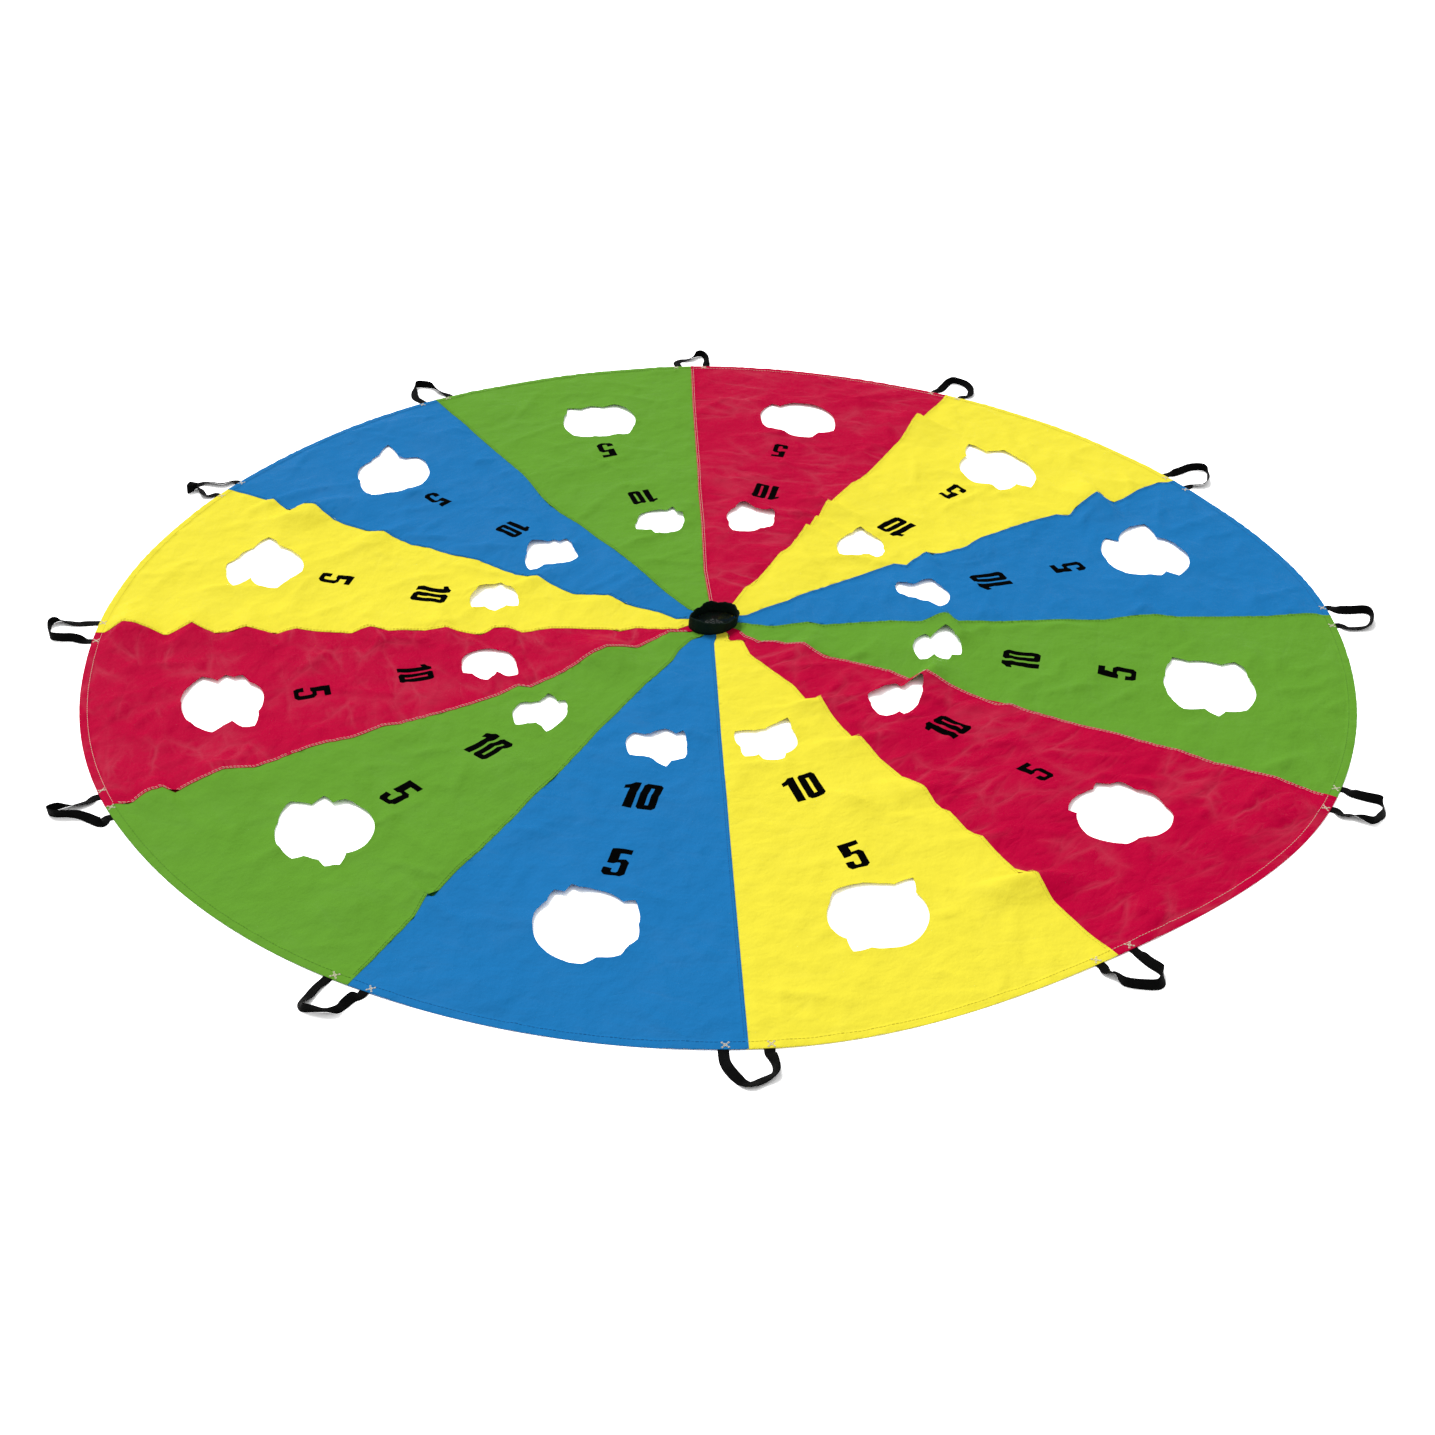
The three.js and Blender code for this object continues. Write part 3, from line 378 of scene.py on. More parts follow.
# The real sizes of the finishes' patterns, in millimetres. Four are too fine to show and are drawn coarser:
# the taffeta's threads are really 0.15 mm apart, the ink's grain is as fine as the weave that it fills, and
# the net's fibres and the paper's grain are under 0.1 mm.
TAFFETA_THREAD = 1.0
TAFFETA_WRINKLE = 55.556
TAFFETA_PATCH = 166.667
TAFFETA_WANDER = 200.0
TAFFETA_FACETS = (90.909, 200.0)
INK_GRAIN = 11.11
THREAD_GRAIN = 25.0
WEBBING_RIB = 1.6
WEBBING_PICK = 1.2
WEBBING_WEAR = 18.18
TWILL_RIB = 1.5
TWILL_WEAR = 16.67
NET_FIBRE = 3.333
PAPER_GRAIN = 2.5

# The relief of the finishes, in metres: how deep each pattern goes. The red cloth is the most creased.
WRINKLE_DEPTH = 0.006
FACET_DEPTH = 0.008
RED_FACET_DEPTH = 0.02
TAFFETA_DEPTH = 0.0001
INK_DEPTH = 0.0004
WEBBING_DEPTH = 0.0004
TWILL_DEPTH = 0.0004
NET_DEPTH = 0.0003
PAPER_DEPTH = 0.0001

# How pale the painted sheen along the cloth's creases can be, as shares of the way to white, in the red and
# in the rest.
RED_SHEEN_SHARE = 0.28
SHEEN_SHARE = 0.05

# How much brighter the floor is where it is seen, so that it is plain white in full light.
SEEN_FLOOR_SHARE = 2.5


def linear(code):
    """Turns an sRGB hex colour into linear red, green, blue and alpha."""
    channels = [int(code[place:place + 2], 16) / 255 for place in (1, 3, 5)]
    return [
        channel / 12.92 if channel <= 0.04045 else ((channel + 0.055) / 1.055) ** 2.4 for channel in channels
    ] + [1.0]


def length(name, description, default):
    """A property for a length in metres."""
    return FloatProperty(name=name, description=description, default=default, unit="LENGTH", precision=4)


def bearing(name, description, degrees):
    """A property for a turn, given in degrees."""
    return FloatProperty(name=name, description=description, default=math.radians(degrees), subtype="ANGLE")


def colour(name, description, code):
    """A property for a colour."""
    return FloatVectorProperty(
        name=name, description=description, default=linear(code), size=4, min=0, max=1, subtype="COLOR"
    )


class CanopySizes(bpy.types.PropertyGroup):
    """Sizes of the canopy's cloth."""

    radius: length("Radius", "From the middle of the vent to the rim", 1.75)
    tip_radius: length("Tip radius", "From the middle of the vent to the gores' tips", 0.03)
    thickness: length("Cloth thickness", "Thickness at which the cloth is drawn", 0.0008)
    seam_gap: length("Seam gap", "Space between one gore's edge and the next gore", 0.0003)
    seam_lap: length("Seam lap", "How far a gore's felled edge lies over the next gore", 0.005)
    seam_width: length("Seam width", "Width of the felled seam", 0.013)
    hem_width: length("Hem width", "Width of the turned hem at the rim", 0.025)
    fold_spacing: length("Fold spacing", "Unit in which the places of the seams' corners are given", 0.1)
    fold_height: length("Fold height", "Rise of the highest fold", 0.025)
    fold_drift: length("Fold drift", "Sideways draw of the widest fold", 0.05)
    fold_length: length("Fold length", "How far a fold runs to each side of its seam", 0.17)
    fold_slant: FloatProperty(
        name="Fold slant", description="How far the folds run askew to their seams", default=0.4
    )
    outer_hole_radius: length("Outer hole radius", "Radius of the outer target holes", 0.122)
    outer_hole_inset: length("Outer hole inset", "From the rim to the outer holes' middles", 0.38)
    inner_hole_radius: length("Inner hole radius", "Radius of the inner target holes", 0.072)
    hole_spacing: length("Hole spacing", "From the outer holes' middles to the inner ones'", 0.732)
    hole_shift: length("Hole shift", "Largest shift of a hole off its place", 0.05)
    settle_length: length("Settle length", "Over which the cloth comes free outside the collar", 0.024)
    curl_height: length("Edge curl", "How high the loose edge of a hole stands", 0.005)
    curl_reach: length("Curl reach", "How far from a hole's edge the cloth still curls", 0.03)
    billow_height: length("Billow height", "Height of the cloth's long soft waves", 0.006)
    crease_height: length("Crease height", "Height of the sharpest crease", 0.009)
    crumple_height: length("Crumple height", "Height of the small wrinkles all over the cloth", 0.0045)
    pucker_height: length("Pucker height", "Height of the puckers that the thread draws", 0.0022)
    pucker_length: length("Pucker length", "Distance from pucker to pucker", 0.042)
    mesh_pitch: length("Mesh pitch", "Distance between the cloth's mesh points", 0.013)


class NumberSizes(bpy.types.PropertyGroup):
    """Sizes and places of the printed numbers."""

    ten_height: length("Ten height", "Height of the tallest printed ten", 0.11)
    five_height: length("Five height", "Height of the tallest printed five", 0.103)
    ten_spacing: length("Ten spacing", "From an inner hole's place out to the ten", 0.202)
    five_spacing: length("Five spacing", "From an inner hole's place out to the five", 0.492)
    digit_gap: length("Digit gap", "Space between the ten's digits", 0.009)
    number_shift: length("Number shift", "Largest shift of a number off its place", 0.05)


class HandleSizes(bpy.types.PropertyGroup):
    """Sizes of the webbing handles."""

    width: length("Webbing width", "Width of the flat webbing", 0.025)
    thickness: length("Webbing thickness", "Thickness of the webbing", 0.0016)
    clearance: length("Clearance", "Space between the webbing and the cloth on it", 0.0003)
    opening_half: length("Opening half width", "Half of the space between a handle's legs", 0.037)
    strap_unit: length("Strap unit", "Unit in which the places of the straps' corners are given", 0.1)
    tab: length("Tab", "How far the legs come out from under the hem before they bend", 0.012)
    hinge_gap: length("Hinge gap", "Length over which a leg bends", 0.0004)
    inset: length("Strip inset", "From the rim to the sewn strip under the hem", 0.002)
    margin: length("Strip margin", "Flat cloth beside the sewn strip", 0.014)
    fall: length("Strip fall", "Length over which the hem comes down to the floor again", 0.11)


class CollarSizes(bpy.types.PropertyGroup):
    """Sizes of the collar round the vent and the net inside it."""

    radius: length("Radius", "Mean inner radius of the collar", 0.068)
    height: length("Height", "Mean height of the collar", 0.034)
    thickness: length("Thickness", "Thickness of the collar's doubled cloth", 0.002)
    lean: length("Lean", "How far the collar's upper edge leans in or out at most", 0.012)
    net_pitch: length("Net pitch", "Distance between the net's threads", 0.0052)
    net_thread: length("Net thread", "Diameter of the net's thread", 0.0027)


class ThreadSizes(bpy.types.PropertyGroup):
    """Sizes of the sewing thread. Its stitches are drawn two to three times as coarse as real ones, to
    show."""

    diameter: length("Diameter", "Diameter of the thread", 0.0011)
    stitch: length("Stitch", "Length of a stitch", 0.0075)
    pitch: length("Pitch", "Distance from stitch to stitch", 0.0095)
    hem_inset: length("Hem inset", "From the hem's inner edge to its row of stitches", 0.004)
    row_start: length("Row start", "From the collar's seat to a seam's first stitch", 0.005)
    outer_inset: length("Outer inset", "From the lap's edge to the seam's first row", 0.0025)
    inner_inset: length("Inner inset", "From the seam's inner edge to its second row", 0.0045)
    tack_diameter: length("Tack diameter", "Diameter of the tacks' thread, laid several times", 0.0017)
    tack_side: length("Tack side", "Side of the cross tack at a handle's leg", 0.018)


class PartColours(bpy.types.PropertyGroup):
    """Colours of the finishes."""

    yellow: colour("Yellow", "Dyed yellow cloth", "#FFF142")
    red: colour("Red", "Dyed red cloth", "#C6003C")
    green: colour("Green", "Dyed green cloth", "#6AA632")
    blue: colour("Blue", "Dyed blue cloth", "#1E7CC0")
    ink: colour("Ink", "Printed numbers", "#010101")
    webbing: colour("Webbing", "Handle webbing", "#040404")
    collar: colour("Collar", "Doubled cloth of the collar", "#06140F")
    # The net is drawn near black: painted shade inside the collar.
    net: colour("Net", "Knitted net", "#06120D")
    thread: colour("Thread", "Undyed sewing thread", "#FBF1D8")
    floor: colour("Floor", "Studio floor", "#F4F4F4")


class StageSizes(bpy.types.PropertyGroup):
    """Places of the camera, the lamp and the floor."""

    camera_place: FloatVectorProperty(
        name="Camera place", description="Where the camera stands",
        default=(-0.206, -5.083, 3.0437), subtype="XYZ",
    )
    camera_turn: bearing("Camera turn", "Turn from straight ahead to the right", 2.475)
    camera_dip: bearing("Camera dip", "How far the camera looks down", 33.449)
    camera_roll: bearing("Camera roll", "Roll of the camera", 0.5385)
    camera_lens: FloatProperty(
        name="Lens", description="Focal length in millimetres", default=52.385, subtype="DISTANCE_CAMERA"
    )
    camera_sensor: FloatProperty(
        name="Sensor", description="Width of the sensor in millimetres", default=36, subtype="DISTANCE_CAMERA"
    )
    floor_size: length("Floor size", "Side of the floor", 60.0)
    floor_clearance: length("Floor clearance", "Space between the floor and the cloth on it", 0.0005)
    lamp_height: bearing("Lamp height", "Height of the lamp above the horizon", 52)
    lamp_turn: bearing("Lamp turn", "Turn of the lamp from behind the object", -28)
    lamp_softness: bearing("Lamp softness", "Angle that the lamp fills", 30)
    lamp_strength: FloatProperty(name="Lamp strength", description="Strength of the lamp", default=2.15)
    sky_strength: FloatProperty(
        name="Sky strength", description="Strength of the light from all round", default=0.45
    )


def sizes(group):
    """The named group of sizes."""
    return getattr(bpy.context.scene, "parachute_" + group)


def seam_angle(seam):
    """The angle at which a seam runs out from the middle."""
    return FIRST_SEAM_ANGLE + (seam - 1) * GORE_TURN


def bell(x):
    """1 in the middle, falling smoothly to 0 at 1 and -1."""
    return np.where(np.abs(x) < 1, np.cos(np.clip(x, -1, 1) * math.pi / 2) ** 2, 0)


def ramp(x):
    """x kept between 0 and 1."""
    return np.clip(x, 0, 1)


def smooth(x):
    """A ramp with soft ends."""
    x = np.clip(x, 0, 1)
    return x * x * (3 - 2 * x)


def turn_from(angle, other):
    """The signed turn from one angle to another, at most half a turn."""
    return np.arctan2(np.sin(angle - other), np.cos(angle - other))


def ring_corners(corners):
    """The turns and the shares of corners round a ring, with the last one repeated before the first and the
    first one after the last."""
    corners = np.array(corners, float)
    corners = np.concatenate([corners[-1:], corners, corners[:1]])
    turns = np.radians(corners[:, 0])
    turns[0] -= math.tau
    turns[-1] += math.tau
    return turns, corners[:, 1:]


def collar_share(angle, column):
    """A share from the collar's corners at an angle, blended softly from corner to corner."""
    turns, shares = ring_corners(COLLAR_CORNER_SHARES)
    shares = shares[:, COLLAR_COLUMNS.index(column)]
    places = [(angle + shift - turns[1]) % math.tau + turns[1] for shift in SOFTENING_TURNS]
    return np.mean([np.interp(place, turns, shares) for place in places], axis=0)


def collar_inner(angle):
    """The collar's inner radius at an angle."""
    return sizes("collar").radius * collar_share(angle, "radius")


def collar_seat():
    """The radius inside which the collar presses the cloth flat."""
    collar = sizes("collar")
    return collar.radius * COLLAR_SEAT_SHARE + collar.thickness


def rim_reach(angle):
    """The rim's reach at an angle, blended smoothly from seam to seam."""
    seams = (angle - FIRST_SEAM_ANGLE) / GORE_TURN
    low = np.floor(seams).astype(int)
    blend = (1 - np.cos((seams - low) * math.pi)) / 2
    shares = np.array(SEAM_REACH_SHARES)
    return shares[low % GORE_COUNT] * (1 - blend) + shares[(low + 1) % GORE_COUNT] * blend


def strip_lift(radius, angle):
    """How high the hem lies on the handles' strips under it."""
    canopy = sizes("canopy")
    handle = sizes("handle")
    nearest = np.round((angle - FIRST_SEAM_ANGLE) / GORE_TURN) * GORE_TURN + FIRST_SEAM_ANGLE
    aside = np.abs(turn_from(angle, nearest)) * radius
    half = handle.opening_half + handle.width
    across = ramp(1 - (aside - half - 2 * handle.margin) / handle.fall)
    inward = canopy.radius - radius - canopy.hem_width - canopy.thickness
    along = ramp(1 - inward / (canopy.fold_spacing - canopy.hem_width - canopy.thickness))
    return (handle.thickness + handle.clearance) * across * along


def lay_cloth(radius, angle):
    """Where points of the flat cut cloth come to lie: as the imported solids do, with sharper folds."""
    canopy = sizes("canopy")
    settled = ramp((radius - collar_seat()) / canopy.settle_length)
    reach = np.minimum(canopy.fold_length, radius * GORE_TURN)
    rise = strip_lift(radius, angle)
    drift = np.zeros_like(radius)
    for seam, path in enumerate(SEAM_PATH_SHARES, 1):
        place, drift_share, rise_share = np.array(path, float).T
        aside = turn_from(angle, seam_angle(seam)) * radius
        slant = canopy.fold_slant * math.sin(2 * seam) * ramp((canopy.radius - radius) / canopy.fold_length)
        along = (radius + slant * aside) / canopy.fold_spacing
        fold = settled * bell(aside / reach)
        rise = rise + canopy.fold_height * np.interp(along, place, rise_share) * fold
        drift = drift + canopy.fold_drift * np.interp(along, place, drift_share) * fold
    out = radius * rim_reach(angle)
    x = out * np.cos(angle) - drift * np.sin(angle)
    y = out * np.sin(angle) + drift * np.cos(angle)
    return np.stack([x, y, rise], axis=-1)


def gore_colour(gore):
    """The name of a gore's colour."""
    return COLOUR_NAMES[(gore - 1) % len(COLOUR_NAMES)]


def hole_middle(gore, outer):
    """A hole's middle in the gore's flat pattern, whose x axis runs out along the gore's middle."""
    canopy = sizes("canopy")
    outer_out, outer_aside, inner_out, inner_aside = HOLE_SHIFT_SHARES[gore - 1]
    place = canopy.radius - canopy.outer_hole_inset
    if outer:
        return np.array([place + canopy.hole_shift * outer_out, canopy.hole_shift * outer_aside])
    place -= canopy.hole_spacing
    return np.array([place + canopy.hole_shift * inner_out, canopy.hole_shift * inner_aside])


def hole_corners(gore, outer):
    """The turns and radii of a hole's corners."""
    canopy = sizes("canopy")
    radius = canopy.outer_hole_radius if outer else canopy.inner_hole_radius
    turns, shares = ring_corners(HOLE_CORNER_SHARES[gore - 1][0 if outer else 1])
    return turns, radius * shares[:, 0]


def hole_edge(gore, outer, turn):
    """How far a hole's loose edge is from the hole's middle at a turn round it."""
    turns, radii = hole_corners(gore, outer)
    return np.interp(turn % math.tau, turns, radii)


def billow(x, y):
    """Long soft waves over the whole cloth, from 0 to about 1, with the cloth flat between them."""
    source = random.Random(7)
    total = np.zeros_like(x)
    for _ in range(BILLOW_WAVES):
        wave_length = source.uniform(*BILLOW_LENGTHS)
        heading = source.uniform(0, math.tau)
        phase = source.uniform(0, math.tau)
        travel = x * math.cos(heading) + y * math.sin(heading)
        total = total + np.cos(travel * math.tau / wave_length + phase)
    return np.maximum(0, total / BILLOW_SUM_SHARE + BILLOW_FLOOR_SHARE) ** BILLOW_POWER


def creases(gore, x, y):
    """Straight creases that the cloth keeps from being packed, from 0 to about 1."""
    source = random.Random(100 + gore)
    canopy = sizes("canopy")
    total = np.zeros_like(x)
    for _ in range(RED_CREASES if gore_colour(gore) == "red" else CREASES):
        out = canopy.radius * math.sqrt(source.uniform(0.03, 0.95))
        aside = out * math.tan(GORE_TURN / 2) * source.uniform(-0.9, 0.9)
        heading = source.gauss(CREASE_HEADING, CREASE_SPREAD)
        half = source.uniform(*CREASE_HALF_LENGTHS)
        breadth = source.uniform(*CREASE_BREADTHS)
        height = source.uniform(0.25, 1)
        along = (x - out) * math.cos(heading) + (y - aside) * math.sin(heading)
        across = (y - aside) * math.cos(heading) - (x - out) * math.sin(heading)
        bow = source.uniform(-0.15, 0.15) * along * along / half
        total = total + height * bell(along / half) * np.exp(-np.abs(across - bow) / breadth)
    return total


def crumple(x, y):
    """Small sharp wrinkles in patches all over the cloth, from 0 to about 1."""
    source = random.Random(41)
    total = np.zeros_like(x)
    for _ in range(CRUMPLE_WAVES):
        heading = source.uniform(0, math.tau)
        wave_length = source.uniform(*CRUMPLE_LENGTHS)
        bend_length = source.uniform(*CRUMPLE_BEND_LENGTHS)
        patch_length = source.uniform(*CRUMPLE_PATCH_LENGTHS)
        along = x * math.cos(heading) + y * math.sin(heading)
        across = y * math.cos(heading) - x * math.sin(heading)
        wander = 0.3 * wave_length * np.sin(along * math.tau / bend_length + source.uniform(0, math.tau))
        ridge = 1 - np.abs(np.sin((across + wander) * math.pi / wave_length))
        patch = np.sin(along * math.tau / patch_length + source.uniform(0, math.tau))
        patch = patch * np.sin(across * math.tau / patch_length * 1.3 + source.uniform(0, math.tau))
        total = total + ridge ** 2 * ramp(0.15 + patch)
    return total / 2


def puckers(travel, row):
    """Uneven little waves along a row of stitches, from 0 to 1."""
    turn = travel * math.tau / sizes("canopy").pucker_length
    wander = 1.1 * np.sin(turn * 0.37 + row) + 0.7 * np.sin(turn * 0.23 + 2.3 * row)
    depth = 0.6 + 0.4 * np.sin(turn * 0.11 + 1.7 * row)
    return depth * (0.5 + 0.5 * np.cos(turn + wander))


def packed_waves(gore, x, y, angle):
    """How far the billow, the creases and the small wrinkles raise a gore's cloth."""
    canopy = sizes("canopy")
    radius = np.hypot(x, y)
    local = np.arctan2(y, x)
    from_rim = canopy.radius - radius
    from_seam = np.abs(radius * np.sin(GORE_TURN / 2 - np.abs(local)))
    plan = (radius * np.cos(angle), radius * np.sin(angle))
    rise = canopy.billow_height * billow(*plan) * smooth(from_rim / BILLOW_RIM_LENGTH)
    calm = smooth(from_seam / CREASE_SEAM_LENGTH) * smooth(from_rim / CREASE_RIM_LENGTH)
    rise = rise + canopy.crease_height * creases(gore, x, y) * calm
    calm = smooth(from_seam / CRUMPLE_SEAM_LENGTH) * smooth(from_rim / CRUMPLE_RIM_LENGTH)
    return rise + canopy.crumple_height * crumple(*plan) * calm


def thread_waves(gore, x, y, angle):
    """How far the threads of the seams and the hem pucker a gore's cloth."""
    canopy = sizes("canopy")
    radius = np.hypot(x, y)
    local = np.arctan2(y, x)
    from_rim = canopy.radius - radius
    rise = np.zeros_like(radius)
    beside = []
    for seam, turn in ((gore, GORE_TURN / 2 + local), (gore % GORE_COUNT + 1, GORE_TURN / 2 - local)):
        from_seam = np.abs(radius * np.sin(turn))
        wave = puckers(radius, seam) * np.exp(-from_seam / PUCKER_SEAM_LENGTH)
        rise = rise + canopy.pucker_height * wave * smooth(from_rim / PUCKER_RIM_LENGTH)
        beside.append(from_seam)
    wave = puckers(turn_from(angle, FIRST_SEAM_ANGLE) * canopy.radius, GORE_COUNT + 1)
    wave = wave * np.exp(-np.maximum(0, from_rim) / PUCKER_HEM_LENGTH)
    free = smooth((np.minimum(*beside) - HANDLE_CALM_HALF) / HANDLE_CALM_LENGTH)
    return rise + canopy.pucker_height * wave * free


def edge_curl(gore, x, y):
    """How far the loose edges of a gore's two holes curl up, most on the side away from the camera."""
    canopy = sizes("canopy")
    rise = np.zeros_like(x)
    for outer in (True, False):
        place = hole_middle(gore, outer)
        turn = np.arctan2(y - place[1], x - place[0])
        away = np.maximum(0, np.hypot(x - place[0], y - place[1]) - hole_edge(gore, outer, turn))
        far = np.sin(turn + seam_angle(gore) + GORE_TURN / 2)
        lift = 0.5 + 0.45 * far + 0.15 * np.cos(2 * turn + 1.3 * gore) + 0.12 * np.cos(7 * turn + gore)
        rise = rise + canopy.curl_height * np.clip(lift, 0.08, 1) * np.exp(-away / canopy.curl_reach)
    return rise


def cloth_under(gore, x, y):
    """The underside of a gore's laid cloth, at points of its flat pattern."""
    canopy = sizes("canopy")
    radius = np.hypot(x, y)
    angle = seam_angle(gore) + GORE_TURN / 2 + np.arctan2(y, x)
    points = lay_cloth(radius, angle)
    settled = ramp((radius - collar_seat()) / canopy.settle_length)
    rise = packed_waves(gore, x, y, angle) + thread_waves(gore, x, y, angle) + edge_curl(gore, x, y)
    points[..., 2] += rise * settled
    return points


def cloth_top(gore, x, y):
    """The upper side of a gore's laid cloth: doubled at the hem and raised along the felled seam."""
    canopy = sizes("canopy")
    points = cloth_under(gore, x, y)
    radius = np.hypot(x, y)
    high_seam = radius * np.sin(GORE_TURN / 2 - np.arctan2(y, x))
    from_rim = canopy.radius - radius
    hem = smooth((canopy.hem_width - from_rim) / HEM_STEP_LENGTH)
    hem = hem * smooth(from_rim / RIM_STEP_LENGTH + RIM_KEPT_SHARE)
    felled = smooth((canopy.seam_width - canopy.seam_lap - high_seam) / FELLED_STEP_LENGTH)
    points[..., 2] += canopy.thickness * (1 + hem) + (canopy.thickness + canopy.seam_gap) * felled
    return points


def cloth_bottom(gore, x, y):
    """The under side of a gore's laid cloth, lifted where its felled edge lies over the next gore."""
    canopy = sizes("canopy")
    points = cloth_under(gore, x, y)
    high_seam = np.hypot(x, y) * np.sin(GORE_TURN / 2 - np.arctan2(y, x))
    on_next = smooth((LAP_STEP_LENGTH - high_seam) / LAP_STEP_LENGTH)
    points[..., 2] += (canopy.thickness + canopy.seam_gap) * on_next
    return points


def resample(corners, pitch):
    """A closed outline's points, no further apart than the pitch."""
    points = []
    for here, there in zip(corners, corners[1:] + corners[:1]):
        here = np.array(here)
        there = np.array(there)
        count = max(1, math.ceil(np.linalg.norm(there - here) / pitch))
        points += [tuple(here + (there - here) * step / count) for step in range(count)]
    return points


def hole_outline(gore, outer):
    """A hole's edge in the gore's flat pattern, with its corners sharp."""
    canopy = sizes("canopy")
    turns, radii = hole_corners(gore, outer)
    turn = []
    for step in range(1, len(turns) - 1):
        span = max(abs(radii[step + 1] - radii[step]), radii[step] * (turns[step + 1] - turns[step]))
        count = math.ceil(span / canopy.mesh_pitch * 2)
        turn += [turns[step] + (turns[step + 1] - turns[step]) * share / count for share in range(count)]
    turn = np.array(turn)
    edge = hole_edge(gore, outer, turn)
    place = hole_middle(gore, outer)
    return [tuple(point) for point in place + np.stack([edge * np.cos(turn), edge * np.sin(turn)], axis=-1)]


def gore_outline(gore):
    """A gore's cut edge: from its tip along one seam, round the rim and back along the other seam."""
    canopy = sizes("canopy")
    pitch = canopy.mesh_pitch

    def beside(radius, inward, side):
        turn = GORE_TURN / 2 - math.asin(inward / radius)
        return (radius * math.cos(turn), side * radius * math.sin(turn))

    span = canopy.radius - canopy.tip_radius
    steps = math.ceil(span / pitch)
    radii = [canopy.tip_radius + span * step / steps for step in range(steps + 1)]
    low = [beside(radius, canopy.seam_gap / 2, -1) for radius in radii]
    high = [beside(radius, -canopy.seam_lap, 1) for radius in reversed(radii)]
    start = math.atan2(low[-1][1], low[-1][0])
    end = math.atan2(high[0][1], high[0][0])
    count = math.ceil(canopy.radius * (end - start) / pitch)
    rim_turns = [start + (end - start) * step / count for step in range(1, count)]
    rim = [(canopy.radius * math.cos(turn), canopy.radius * math.sin(turn)) for turn in rim_turns]
    return low + rim + high


def number_outlines(gore):
    """The printed digits' outlines in the gore's flat pattern, and the outlines left bare inside them."""
    number = sizes("number")
    canopy = sizes("canopy")
    inner_place = canopy.radius - canopy.outer_hole_inset - canopy.hole_spacing
    ten_out, ten_aside, five_out, five_aside = NUMBER_SHIFT_SHARES[gore - 1]
    ten_share, five_share = NUMBER_HEIGHT_SHARES[gore - 1]

    def place(shape, height, out, aside, left):
        return [(out + height * (0.5 - up), aside + left + height * across) for across, up in shape]

    def width(shape):
        return max(across for across, _ in shape)

    ten_height = number.ten_height * ten_share
    one_width = ten_height * width(DIGIT_ONE_SHARES)
    nought_width = ten_height * width(DIGIT_NOUGHT_SHARES)
    left = -(one_width + number.digit_gap + nought_width) / 2
    out = inner_place + number.ten_spacing + number.number_shift * ten_out
    aside = number.number_shift * ten_aside
    one = place(DIGIT_ONE_SHARES, ten_height, out, aside, left)
    left += one_width + number.digit_gap
    nought = place(DIGIT_NOUGHT_SHARES, ten_height, out, aside, left)
    slit = place(NOUGHT_SLIT_SHARES, ten_height, out, aside, left)
    five_height = number.five_height * five_share
    out = inner_place + number.five_spacing + number.number_shift * five_out
    aside = number.number_shift * five_aside
    left = -five_height * width(DIGIT_FIVE_SHARES) / 2
    five = place(DIGIT_FIVE_SHARES, five_height, out, aside, left)
    return [one, nought, five], [slit]


def inside(points, outline):
    """Which points lie inside a closed outline."""
    outline = np.array(outline)
    x, y = points[:, 0], points[:, 1]
    found = np.zeros(len(points), bool)
    for (x0, y0), (x1, y1) in zip(outline, np.roll(outline, -1, axis=0)):
        if y0 == y1:
            continue
        crosses = (y0 > y) != (y1 > y)
        found ^= crosses & (x < (x1 - x0) * (y - y0) / (y1 - y0) + x0)
    return found


def within(points, outline):
    """Those of the points that lie inside a closed outline."""
    points = np.array(points)
    return [tuple(point) for point in points[inside(points, outline)]]


def apart_from(others, points, distance):
    """Those of the points that lie further than a distance from all the others."""
    tree = KDTree(len(others))
    for index, point in enumerate(others):
        tree.insert((*point, 0), index)
    tree.balance()
    return [point for point in points if tree.find((*point, 0))[2] > distance]


def arc_row(radius, pitch):
    """A row of points across a gore at one radius."""
    count = math.ceil(radius * GORE_TURN / pitch)
    turns = (np.arange(count + 1) / count - 0.5) * GORE_TURN
    return [(radius * math.cos(turn), radius * math.sin(turn)) for turn in turns]


def seam_row(inset, pitch):
    """A row of points along a gore's felled side, at a distance inside the seam."""
    canopy = sizes("canopy")
    span = canopy.radius - canopy.tip_radius
    count = math.ceil(span / pitch)
    points = []
    for step in range(1, count):
        radius = canopy.tip_radius + span * step / count
        turn = GORE_TURN / 2 - math.asin(inset / radius)
        points.append((radius * math.cos(turn), radius * math.sin(turn)))
    return points


def hole_ring(gore, outer, away):
    """A ring of points round a hole, at a distance from its edge."""
    steps = OUTER_RING_STEPS if outer else INNER_RING_STEPS
    turn = (np.arange(steps) + 0.5) * math.tau / steps
    reach = hole_edge(gore, outer, turn) + away
    ring = hole_middle(gore, outer) + np.stack([reach * np.cos(turn), reach * np.sin(turn)], axis=-1)
    return [tuple(point) for point in ring]


